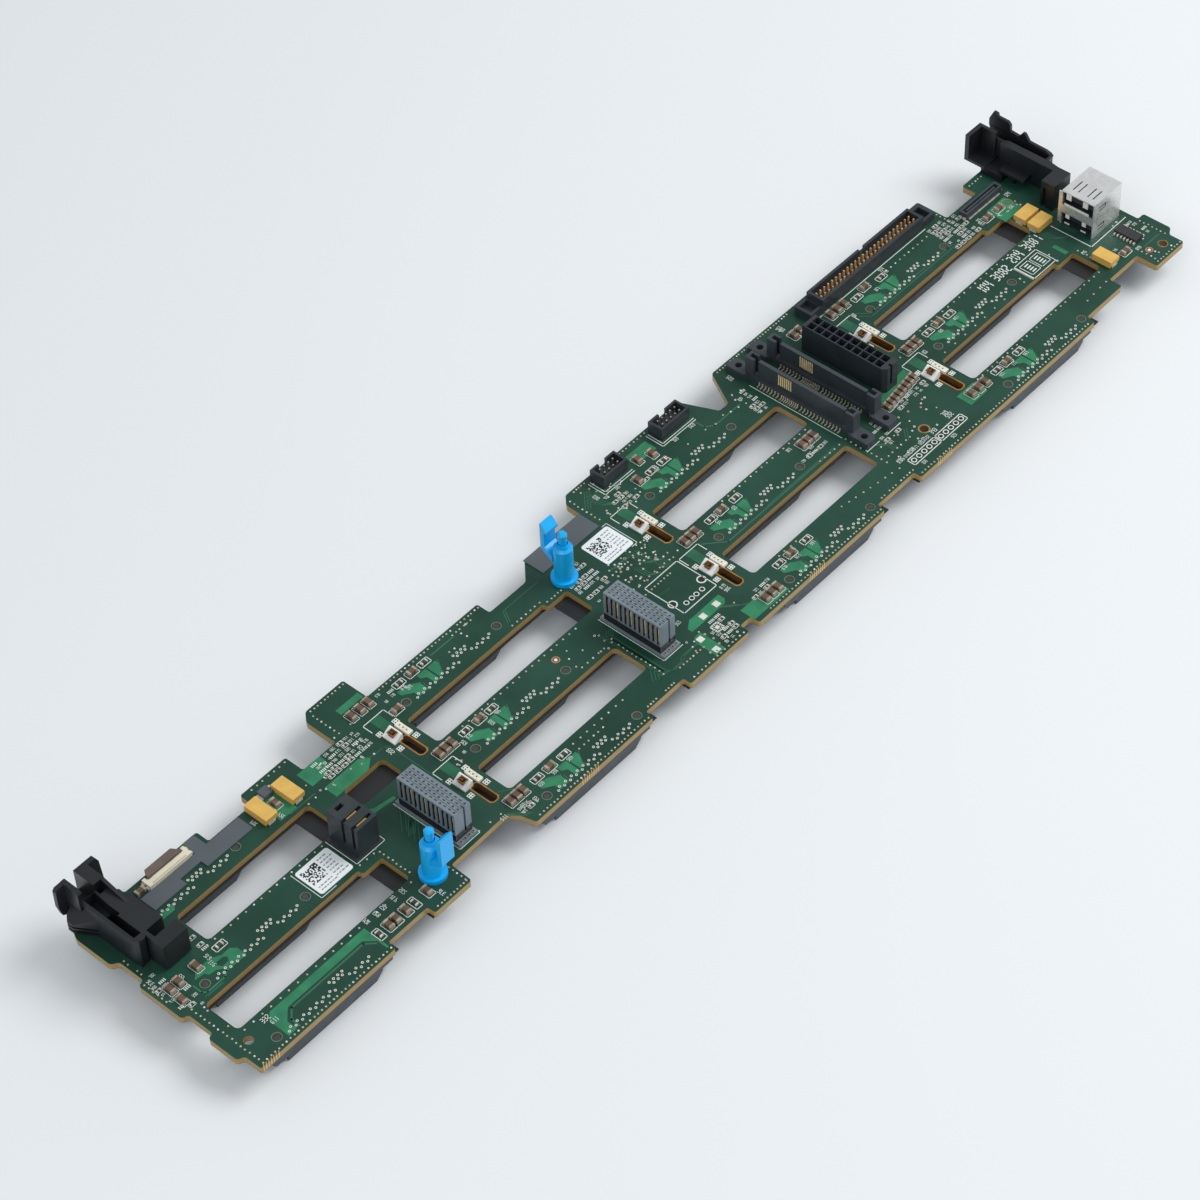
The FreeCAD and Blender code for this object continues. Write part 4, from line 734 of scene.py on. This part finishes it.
def small_part(bodies, ends, x, y, upright, body, end, reach, height, border, framed=True):
    """A body between two metal ends in an inked frame. Sizes are across and along the part."""
    turn = 1 if upright else -1

    def slab(shapes, along, size, top):
        place = (x, y + along) if upright else (x + along, y)
        shapes.slab(*place, *size[::turn], 0, top)

    slab(bodies, 0, body, height)
    for side in (-1, 1):
        slab(ends, side * reach, end, height + 0.03)
    if framed:
        half_x, half_y = border[::turn]
        ink_frame(x - half_x, y - half_y, x + half_x, y + half_y)


def resistor(x, y, upright=False):
    """A flat chip resistor with tinned ends."""
    small_part(chip_bodies, chip_ends, x, y, upright, (1, 1.92), (1.2, 0.5), 0.95, 0.55, (1.15, 2.1))


def ceramic(x, y, upright=False, framed=True):
    """A brown ceramic capacitor with tan ends."""
    small_part(ceramic_bodies, ceramic_ends, x, y, upright, (1.728, 3.072), (1.85, 0.75), 1.25, 1.3,
               (1.4, 2.1), framed)


RESISTORS = (
    (11.6, 33.6), (111.2, 6.4), (122.6, 6.4), (111.2, 34), (122.2, 34), (112.2, 61.4), (122.8, 61.4),
    (219.6, 6.4), (232.4, 6.4), (220.8, 34), (232.4, 34), (225.2, 61.4), (230.6, 61.4), (327.6, 6.4),
    (339, 6.4), (328, 33.8), (339, 33.8), (326.4, 61.4), (339, 61.4))
CERAMICS = (
    (116.6, 6.4), (117, 34), (117.6, 61.4), (225, 6.4), (225.6, 34), (332.6, 6.4), (333.2, 34),
    (331.6, 62.6), (383.6, 52.2), (389.6, 52.2), (104.4, 54.8), (398.4, 7.6))

for x in (42.3, 56.4):
    resistor(x, 2.6, True)
for x in (46.2, 49, 53, 61.6):
    ceramic(x, 2.6, True)
for x, y in RESISTORS:
    resistor(x, y)
for x, y in CERAMICS:
    ceramic(x, y)
for x, y in ((225.6, 67.6), (230.6, 66), (56.9, 57.2), (299.6, 65.8), (302.6, 65.8)):
    ceramic(x, y, True)
ceramic(10.4, 63.6, framed=False)

for low, high in islands("ceramic_capacitors"):
    for edge in (low[1] + 0.28, high[1] - 0.28):
        ceramic_ends.slab((low[0] + high[0]) / 2, edge, high[0] - low[0] + 0.06, 0.62, 0, high[2] + 0.03)
    ink_frame(low[0] - 0.45, low[1] - 0.5, high[0] + 0.45, high[1] + 0.5, 0.18)

# Bare tinned pads beside the second link socket
bare_pads = Shapes()
for x, y, size in ((195.1, 10.4, 2.1), (188.8, 10.2, 2.1), (181.3, 4.9, 2.1), (181.3, -1.2, 2.1),
                   (188.2, 4.2, 1.3)):
    bare_pads.slab(x, y, size, size, 0, PAD)
ink_frame(186.6, 2.6, 189.8, 5.8, 0.18)
for index in range(5):
    for side in (-1, 1):
        bare_pads.slab(186.8 + 0.7 * index, 4.2 + side * 1.3, 0.3, 0.7, 0, PAD)
        bare_pads.slab(188.2 + side * 1.3, 2.8 + 0.7 * index, 0.7, 0.3, 0, PAD)
bare_pads.piece("bare_pads", "contact_tin", via_pale)

# Light holders: dotted pads at the corners, an open inked frame, a pale copper strip, bars and
# dots on the light chip beside each, and a brown lining in the window, darkened as painted shade
light_pours = Shapes()
light_bits = Shapes()
light_dots = Shapes()
light_pits = Shapes()
for name in sorted(name for name in nodes if name.startswith("light_holder")):
    corner = from_datum(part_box(name)[0])
    x, y = corner.x, corner.y
    for pad_x in (x + 0.2, x + 6.8):
        for pad_y in (y - 2, y + 6.2):
            white_pads.slab(pad_x, pad_y, 1.9, 1.8, 0, INK)
            for step_x in (-0.42, 0.42):
                for step_y in (-0.42, 0.42):
                    pad_dots.slab(pad_x + step_x, pad_y + step_y, 0.4, 0.4, INK, INK + SKIN)
    inked([(x - 0.8, y + 8.3), (x - 0.8, y + 12), (x + 7.7, y + 12), (x + 7.7, y + 8.3)], 0.26)
    light_pours.slab(x + 3.6, y + 8.8, 3.6, 6.2, 0, POUR)
    for step in (0.3, 1.7, 3.1, 4.4):
        light_bits.slab(x + 6, y + step, 1.7, 0.4, LENS_TOP, LENS_TOP + 0.05)
    for step in (1, 2.4, 3.8):
        light_dots.slab(x + 6, y + step, 0.6, 0.5, LENS_TOP, LENS_TOP + 0.04)
    x, y = x + 1.75, y + 2.5
    # The window's floor, walls and rim in the darker routed brown: painted shade in the hollow
    light_pits.slab(x, y, 1.62, 1.92, HOLDER_FLOOR, HOLDER_FLOOR + 0.1)
    light_pits.slab(x + 0.35, y + 0.45, 0.9, 0.9, HOLDER_FLOOR + 0.1, 1.9)
    for side in (-1, 1):
        light_pits.slab(x + side * 1.02, y, 0.34, 2.7, HOLDER_TOP, HOLDER_TOP + SKIN)
        light_pits.slab(x, y + side * 1.18, 1.7, 0.34, HOLDER_TOP, HOLDER_TOP + SKIN)
        light_pits.slab(x + side * 0.81, y, 0.08, 1.99, HOLDER_FLOOR, HOLDER_TOP)
        light_pits.slab(x, y + side * 0.96, 1.69, 0.08, HOLDER_FLOOR, HOLDER_TOP)
light_bits.piece("light_bars", "light_white", via_pale)
light_dots.piece("light_dots", "light_white", routed)
light_pits.piece("light_pits", "chip_black", routed_wall_painted_shade)
light_pours.piece("light_copper", "board_green", mask_mid)

# Frames and lines of white ink round the connectors
inked([(78.3, 31.4), (78.3, 5.7), (86.4, 5.7)])
inked([(168.1, 33.2), (168.1, 7.6), (176.4, 7.6)])
inked([(56.1, 36.6), (56.1, 24.3), (67.4, 24.3), (67.4, 26.4)])
ink_frame(186.2, 15.2, 201, 30.8, 0.3)
inked([(273.2, 25.2), (273.2, 62.2)])
inked([(273.4, 15.4), (279.4, 15.4)], 0.25)
inked([(284, 15.4), (290, 15.4)], 0.25)
inked([(309, 64.8), (366.5, 64.8)], 0.28)
inked([(393.6, 34), (393.6, 17.6), (412.4, 17.6)], 0.28)
for x, length in ((208.3, 13.4), (235.4, 15.4)):
    for gap in (0, 0.9):
        inked([(x + gap, 72.5), (x + gap, 65.5 + gap), (x + length, 65.5 + gap)], 0.25)
for x0, x1 in ((278.2, 291.4), (291.9, 304.8)):
    ink_frame(x0, 0.5, x1, 3.6, 0.3)
inked([(41.3, 35.6), (41.3, 23.5), (47, 23.5)], 0.2)
inked([(197.4, 57.4), (199.3, 57.4), (199.3, 45), (197, 45)], 0.2)
ink_frame(369.2, 22.8, 381.2, 31, 0.25)
print_marks.slab(369.4, 26.9, 0.9, 8.4, 0, INK)
for x in (370.8, 376):
    ink_frame(x, 24.3, x + 4.4, 29.7)
    for bar in range(4):
        print_marks.slab(x + 2.2, 25.3 + 1.1 * bar, 2, 0.5, 0, INK)
numerals("104 3082", 353.6, 31.1, 3.3, True, 0.12)
numerals("204 3081", 371.6, 32.2, 3.3, True, 0.12)
numerals("1073 0462 8417 0258 32", 275.4, 4.5, 1.2, True, 0.1)

# Reference numbers beside the parts: place, height, and False for those that run along +Y
NUMBERS = (
    (1, 5.8, 1.6), (2.4, 3.7, 1.3), (44, 7.2, 1.3, False), (47.6, 7, 1.3, False), (50.4, 7, 1.3, False),
    (54.6, 7, 1.3, False), (58, 7, 1.3, False), (64.6, -1.6, 1.3, False), (109.6, 3.6, 1.1),
    (115.4, 3.6, 1.1), (121.8, 3.6, 1.1), (218.6, 3.6, 1.1), (224.6, 3.6, 1.1), (231.8, 3.6, 1.1),
    (326.4, 3.6, 1.1), (332.6, 3.6, 1.1), (338.8, 3.6, 1.1), (102, 1.5, 1.3, False),
    (104, 0.6, 1.2, False), (106, 0.6, 1.2, False), (108.3, 30.6, 1.2, False), (119, 29.6, 1.2, False),
    (109.6, 31.4, 1.1), (121.6, 31.4, 1.1), (112, 57.6, 1.2), (111, 58.8, 1.2), (222, 30.6, 1.2, False),
    (229.6, 30.6, 1.2, False), (257.6, 34, 1.2), (263, 29.6, 1.2), (260.2, 27.6, 1.4), (276, 4.6, 1.5),
    (281.5, 4.6, 1.5), (287, 4.6, 1.5), (292.4, 4.6, 1.5), (280, -1.4, 1.2), (295, -1.4, 1.2),
    (301, 5, 1.6), (300.8, 6.8, 1.4), (330, 30.6, 1.1), (338, 30.6, 1.1), (320.6, 28, 1.2, False),
    (319.8, 56, 1.2, False), (332.6, 58.4, 1.2), (341, 63.2, 1.2), (341, 61.4, 1.2),
    (381, 51.4, 1.2, False), (392, 49, 1.2), (396, 53.6, 1.5), (88, 52, 1.2, False),
    (92.6, 44.4, 1.4, False), (93.6, 3.4, 1.2), (48.6, 56, 1.2, False), (55.6, 52, 1.2, False),
    (247, 64, 1.3), (239, 64, 1.3), (272.6, 68, 1.4, False), (291, 71.4, 1.2, False), (298.4, 71.2, 1.2),
    (298.4, 69.8, 1.2), (206.2, 66, 1.3, False), (-8.8, 38.2, 1.2, False), (7.4, 32.4, 1.2, False),
    (-2, 33, 1.2, False), (6.6, 29.8, 1.2, False), (181, 13.6, 1.2), (200.8, 12.9, 1.2),
    (200.8, 11.1, 1.2), (401.8, 5, 1.2), (389, 17.4, 1.1))
for x, y, height, *upright in NUMBERS:
    numerals(str(dice.randrange(100, 999)), x, y, height, *upright)


def print_cluster(x0, y0, x1, y1, used):
    """Rows of small numbers, framed chips and pads; used is the share of places in use."""
    y = y0
    while y < y1 - 1:
        x = x0 + dice.uniform(0, 0.7)
        while x < x1 - 1.6:
            kind = dice.random() / used
            if not all_on_board(rectangle(x, y, x + 2.3, y + 1.3)):
                kind = 1
            if kind < 0.36:
                numerals(str(dice.randrange(100, 999)), x, y + 0.2, 0.95)
            elif kind < 0.5:
                numerals(str(dice.randrange(10, 99)), x + 1, y, 0.95, False)
            elif kind < 0.8:
                ink_frame(x, y, x + 2.1, y + 1.2, 0.15)
                chip_bodies.slab(x + 1.05, y + 0.6, 0.8, 0.65, 0, 0.35)
                for side in (-1, 1):
                    chip_ends.slab(x + 1.05 + side * 0.58, y + 0.6, 0.38, 0.68, 0, 0.37)
            elif kind < 1:
                for step in range(4):
                    white_pads.slab(x + 0.2 + step * 0.6, y + 0.6, 0.3, 1, 0, INK)
            x += CLUSTER_STEP
        y += CLUSTER_ROW


CLUSTER_STEP = 2.65
CLUSTER_ROW = 1.7
CLUSTERS = (
    (73, 51.4, 92, 60, 0.9), (104, 59, 110.5, 64, 0.9), (172, 40.5, 184, 56, 0.92),
    (185, -2, 194, 8.5, 0.75), (203.4, 2.6, 213, 8, 0.6), (206.6, 57.2, 214.6, 65.4, 0.8),
    (220, 59.6, 235, 64, 0.35), (265.4, 51.5, 271.5, 63.5, 0.85), (365.5, 50.6, 380, 64, 0.88),
    (380, 53.4, 389.5, 56, 0.7), (280.2, 11.6, 288.4, 23, 0.5), (291, 18.8, 310, 21.6, 0.7),
    (407.6, 7.6, 412.6, 16.4, 0.6), (396, 8.4, 399.8, 15, 0.6), (-11, 22.8, -3, 41, 0.45),
    (7, 35.6, 10.4, 42, 0.7), (99, 0.4, 105.6, 3.6, 0.7), (104.4, 28.6, 109.4, 33, 0.4),
    (257, 27.4, 270.6, 29.2, 0.95), (334, 60, 345, 62.2, 0.5), (173, 34, 176.4, 40, 0.7))
for area in CLUSTERS:
    print_cluster(*area)

# Ringed holes of the two empty header places, each holding a dark disc of painted shade
holes = Shapes()
for y, inner, outer, places in (
        (2.1, 0.66, 0.98, (279.7, 282.25, 284.8, 287.35, 289.9, 293.2, 295.7, 298.2, 300.75, 303.3)),
        (17.5, 0.62, 0.92, (189.8, 192.3, 194.4, 197))):
    for x in places:
        white_pads.ring(x, y, inner, outer, 0, INK + 0.01, 16)
        holes.disc(x, y, inner + SKIN, 0, INK, 12)
for x in (COLUMN + 78.4, COLUMN + 91.6):
    white_pads.ring(x, 20.2, 1.12, 1.55, 0, INK, 24)
# Dark discs in the open holes: painted shade
holes.piece("plated_hole_shade", "chip_black", dark)
test_points = Shapes()
for x, y in ((148.2, 32.3), (404.2, 2.3)):
    test_points.ring(x, y, 0.9, 1.35, 0, PAD, 20)
    white_pads.disc(x, y, 0.55, 0, PAD, 16)
test_points.piece("test_point_rings", "contact_gold", metal("copper", (0.72, 0.34, 0.2), 0.4))

# Gold bars on the front edge, each with a short foot on the top face
edge_marks = Shapes()
front_edge = from_datum(board_low).y
for start, count in ((-9, 7), (119, 8), (221.5, 8), (284, 8)):
    for index in range(count):
        x = start + index * 0.95
        edge_marks.slab(x, front_edge, 0.42, 0.06, -board_thick + 0.2, TRACE)
        edge_marks.prism([(x - 0.2, front_edge), (x + 0.2, front_edge), (x + 0.7, front_edge + 0.6),
                          (x + 0.3, front_edge + 0.6)], 0, TRACE)
edge_marks.piece("edge_marks", "contact_gold", bare_copper)

# Paper labels, with rounded corners, plain dashes and random dots
labels = Shapes()
label_print = Shapes()
label_dots = Shapes()


def dashes(start, end, y, longest, gap):
    """A row of dashes across a label."""
    while start < end:
        dash = dice.uniform(0.5, longest)
        label_print.slab(start + dash / 2, y, dash, LABEL_DOT, LABEL, LABEL + 0.01)
        start += dash + gap


for x0, y0, x1, y1 in ((42.1, 24.2, 54.9, 35.2), (186.6, 45.5, 198.6, 56.7)):
    outline = []
    left, right = x0 + LABEL_CORNER, x1 - LABEL_CORNER
    front, back = y0 + LABEL_CORNER, y1 - LABEL_CORNER
    for x, y, start in ((right, back, 0), (left, back, 90), (left, front, 180), (right, front, 270)):
        for step in range(5):
            angle = math.radians(start + 22.5 * step)
            outline.append((x + LABEL_CORNER * math.cos(angle), y + LABEL_CORNER * math.sin(angle)))
    labels.prism(outline, 0, LABEL)
    for index in range(7):
        dashes(x0 + 7.6, x1 - 1.6, y1 - 1.5 - 1.3 * index, 1.3, 0.35)
    for index in range(2):
        dashes(x0 + 1.2, x0 + 6.6, y0 + 1.2 + 1.2 * index, 1.2, 0.3)
    for index in range(14):
        for other in range(14):
            if dice.random() < 0.5:
                label_dots.slab(x0 + 1.1 + LABEL_DOT * index, y0 + 4.1 + LABEL_DOT * other, LABEL_DOT,
                                LABEL_DOT, LABEL, LABEL + 0.01)
labels.piece("paper_labels", "moulding_white", label_white)
label_print.piece("label_marks", "chip_black", label_grey)
label_dots.piece("label_dots", "chip_black", dark)

print_marks.piece("ink_marks", "moulding_white", ink)
white_pads.piece("white_pads", "moulding_white", ink)
pad_dots.piece("pad_dots", "chip_black", dark)
chip_bodies.piece("resistor_bodies", "chip_black", resistor_body)
chip_ends.piece("resistor_ends", "contact_tin", solder)
ceramic_bodies.piece("ceramic_bodies", "ceramic_brown")
ceramic_ends.piece("ceramic_ends", "ceramic_brown", terminal)

# Details of the link sockets and the drive plugs

# Dark marks on the sockets stand for painted shade in their openings, tab holes and side grooves
socket_hollow_shade = Shapes()
socket_grooves = Shapes()
socket_tin = Shapes()
groove_shade = Shapes()
bright_tips = Shapes()
dull_tips = Shapes()
for name in ("link_socket_1", "link_socket_2"):
    low, high = measured(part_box(name))
    top = high.z
    x0 = low.x + 1.35
    y0 = low.y + 12.2 - 5.5 * LINK_PITCH
    # Dark cells and triangles on the top face: painted shade in the openings
    for across in range(4):
        for along in range(12):
            x = x0 + across * LINK_ROW
            y = y0 + along * LINK_PITCH
            if (along + 2 * across) % 3 == 0:
                socket_hollow_shade.prism([(x - 0.34, y - 0.42), (x + 0.5, y), (x - 0.34, y + 0.42)], top,
                                   top + SKIN)
            else:
                socket_hollow_shade.slab(x, y, 0.34, 0.95, top, top + SKIN)
    for across in range(3):
        socket_grooves.slab(x0 + 0.72 + across * LINK_ROW, low.y + 12.5, 0.16, 21.6, top, top + 0.015)
    for index in range(4):
        x, y = low.x + 1.2 + index * 1.7, low.y + 0.62
        socket_tin.slab(x, y, 1, 1, 1.2, 1.45)
        # A dark spot on each tab: painted shade in its hole
        socket_hollow_shade.slab(x, y, 0.5, 0.6, 1.45, 1.47)
    for index in range(12):
        y = y0 + index * LINK_PITCH
        tips, tall = (dull_tips, 10.2) if index % 3 else (bright_tips, 11.2)
        tips.slab(low.x + 0.85, y - 0.02, 0.14, 0.62, 5.2, tall)
        tips.slab(low.x + 0.72, y - 0.02, 0.16, 0.5, tall - 2.2, tall - 0.6)
        # Dark back and sides of each groove of the comb: painted shade inside the groove
        groove_shade.slab(low.x + 1.75, y, 0.06, 1.04, 4.2, 12)
        for side in (-1, 1):
            groove_shade.slab(low.x + 1.1, y + side * 0.53, 1.36, 0.03, 4.2, 12)
    # Dark stripes along the -X face: painted shade in its grooves
    for step in range(3):
        socket_hollow_shade.slab(low.x + 0.16, low.y + 12.5, 0.1, 21, 1.6 + 0.8 * step, 1.9 + 0.8 * step)
socket_hollow_shade.piece("link_socket_slot_shade", "chip_black", dark)
socket_grooves.piece("link_socket_grooves", "chip_black", resistor_body)
groove_shade.piece("link_groove_walls", "chip_black", dark)
bright_tips.piece("bright_tips", "contact_gold", bright_gold)
dull_tips.piece("dull_tips", "contact_gold", dull_gold)
plug_leads = Shapes()
for name in ("drive_plug_1", "drive_plug_2"):
    low, high = measured(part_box(name))
    edge = low.x + 1.4
    spots = [27.6 + 1.27 * index for index in range(13)]
    spots += [44.4 + 0.8 * index for index in range(9)]
    spots += [52.2 + 1.27 * index for index in range(7)]
    for y in spots:
        plug_leads.slab(edge - 0.6, y, 1.6, 0.34, 0, 0.3)
        plug_leads.slab(edge - 0.1, y, 0.5, 0.34, 0.3, 1.2)
plug_leads.piece("drive_plug_leads", "contact_tin", via_tan)
socket_tin.piece("link_socket_tabs", "contact_tin")

# Foot of the blade socket, end tabs and contact rows of the two low connectors
foot = Shapes()
foot.slab(61.5, 30.7, 10.2, 12.2, 0, 0.7)
foot.piece("blade_socket_foot", "moulding_black")
low_tabs = Shapes()
low_marks = Shapes()
for node, overhang in (("flat_connector", 0.6), ("slim_connector", 0.5)):
    low, high = measured(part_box(node))
    for x in (low.x - overhang / 2, high.x + overhang / 2):
        for y in (low.y + 0.8, high.y - 0.8):
            low_tabs.slab(x, y, overhang, 1.1, 0, 0.9)
    count = int((high.x - low.x - 2.4) / 0.5)
    for index in range(count):
        low_tabs.slab(low.x + 1.3 + 0.5 * index, low.y - 0.25, 0.24, 0.5, 0, 0.25)
low, high = measured(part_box("flat_connector"))
for index in range(26):
    low_marks.slab(low.x + 1.6 + 0.5 * index, low.y + 0.5, 0.2, 0.55, high.z, high.z + SKIN)
low_marks.slab((low.x + high.x) / 2, low.y + 2.3, 13, 0.16, high.z, high.z + SKIN)
low_tabs.piece("low_connector_tabs", "contact_tin", solder)
low_marks.piece("flat_connector_marks", "contact_gold", dull_gold)
dark_chip = Shapes()
dark_chip.slab(57.65, 61.9, 3.5, 3.4, 0, 1.5, 0.05)
dark_chip.piece("square_chip", "chip_black", looks["film_grey"])
chip_pads = Shapes()
chip_pads.slab(55.3, 61.9, 1.3, 2.6, 0, 0.5)
chip_pads.slab(60, 63, 1.2, 0.8, 0, 0.4)
chip_pads.piece("square_chip_pads", "contact_tin", solder)

# Ridge that runs down from the post of the left guide bracket
ridge = Shapes()
post_end = measured(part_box("guide_bracket_left"))[1].y - 8.0
ridge.ridge(0.7, 1.8, post_end - 9.4, post_end, 10.4, 12.8)
ridge.piece("bracket_ridge", "bracket_black")

# Tinned leads of the control chip
leads = Shapes()
low, high = measured(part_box("control_chip"))
for index in range(7):
    for x in (low.x + 0.5, high.x - 0.5):
        leads.slab(x, low.y + 0.475 + 1.27 * index, 1.04, 0.5, 0, 0.78)
leads.piece("chip_leads", "contact_tin", solder)

# Springs of the double-deck receptacle, seen in its two mouths
springs = Shapes()
low, high = measured(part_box("port_shell"))
for share in (0.27, 0.74):
    y = low.y + (high.y - low.y) * share
    springs.slab(low.x + 0.5, y, 0.3, 1.9, 10.8, 13.6)
    springs.slab(low.x + 0.5, y, 0.3, 1.5, 3, 4.9)
    springs.slab(low.x + 0.4, y, 0.3, 2, 0.7, 1.1)
springs.slab(low.x + 0.3, (low.y + high.y) / 2, 0.3, 9.6, 8.3, 9)
springs.piece("port_springs", "shell_steel", moulded("bright_spring", (0.86, 0.85, 0.8), 0.3, 0.04, 300))
# Near-black slits and V marks on the -Y face: painted shadows of the slots and springs there
slit_shadows = Shapes()
for level in (11.4, 3.4):
    slit_shadows.slab(low.x + 4.6, low.y, 3.6, 0.03, level, level + 0.35)
    slit_shadows.slab(low.x + 4.6, low.y, 3, 0.03, level - 1.6, level - 1.25)
    slit_shadows.slab(low.x + 6.4, low.y, 0.35, 0.03, level - 1.5, level + 0.3)
slit_shadows.piece("port_slits", "chip_black", dark)

# Retention pins: a fuller neck on each stud, and a low collar round the mouth of each sleeve
necks = Shapes()
for number in (1, 2):
    low, high = measured(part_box(f"latch_stud_{number}"))
    x, y = (low.x + high.x) / 2, (low.y + high.y) / 2
    necks.disc(x, y, 1.3, high.z - 5, high.z - 2.2, 24)
    collar = Shapes()
    for level in range(4):
        collar.ring(x, y, 1.6, 2.2 - 0.14 * level, 14.2 + 0.3 * level, 14.5 + 0.3 * level, 32)
    collar.piece(f"sleeve_collar_{number}", "latch_blue", body=f"latch_{number}")
necks.piece("stud_necks", "latch_blue")

# Stage: floor, soft lights, pale surroundings and the camera
mesh = bpy.data.meshes.new("floor")
corners = rectangle(-FLOOR_HALF, -FLOOR_HALF, FLOOR_HALF, FLOOR_HALF)
mesh.from_pydata([(x, y, 0) for x, y in corners], [], [(0, 1, 2, 3)])
floor = new_object("floor", mesh)
floor_material, tree, shader = new_material("floor_paper")
tree.links.new(ramp(tree, noise(tree, 2.0), [(0.3, shade(FLOOR_COLOUR, 0.985)), (0.7, FLOOR_COLOUR)]),
               shader.inputs["Base Color"])
set_inputs(shader, {"Roughness": 0.85, "Specular IOR Level": 0.2})
mesh.materials.append(floor_material)


def soft_light(name, place, power, colour):
    """A round lamp, a metre across, that looks at the frame's origin."""
    light = bpy.data.lights.new(name, "AREA")
    light.shape = "DISK"
    light.size = 1.0
    light.energy = power
    light.color = colour
    lamp = new_object(name, light)
    lamp.location = place
    lamp.rotation_euler = (-Vector(place)).to_track_quat("-Z", "Y").to_euler()


soft_light("key", (0.9, -0.55, 1.2), 15.5, (1.0, 0.995, 0.985))
soft_light("fill", (-1.0, -0.3, 1.0), 4.5, (0.96, 0.98, 1.0))

world = bpy.data.worlds.new("studio")
bpy.context.scene.world = world
world.use_nodes = True
tree = world.node_tree
sky = tree.nodes["Background"]
set_inputs(sky, {"Color": (0.94, 0.97, 1.0, 1.0), "Strength": SKY_STRENGTH})
pale = tree.nodes.new("ShaderNodeBackground")
set_inputs(pale, {"Color": (*BACKDROP, 1.0), "Strength": 1.0})
path = tree.nodes.new("ShaderNodeLightPath")
mix = tree.nodes.new("ShaderNodeMixShader")
tree.links.new(path.outputs["Is Camera Ray"], mix.inputs["Fac"])
tree.links.new(sky.outputs[0], mix.inputs[1])
tree.links.new(pale.outputs[0], mix.inputs[2])
tree.links.new(mix.outputs[0], tree.nodes["World Output"].inputs["Surface"])

camera_data = bpy.data.cameras.new("camera")
camera_data.lens = CAMERA_LENS
camera_data.sensor_width = CAMERA_SENSOR
camera = new_object("camera", camera_data)
camera.location = Vector(CAMERA_PLACE) * MM
camera.rotation_euler = [math.radians(angle) for angle in CAMERA_TURN]
bpy.context.scene.camera = camera
bpy.context.scene.view_settings.view_transform = "Standard"
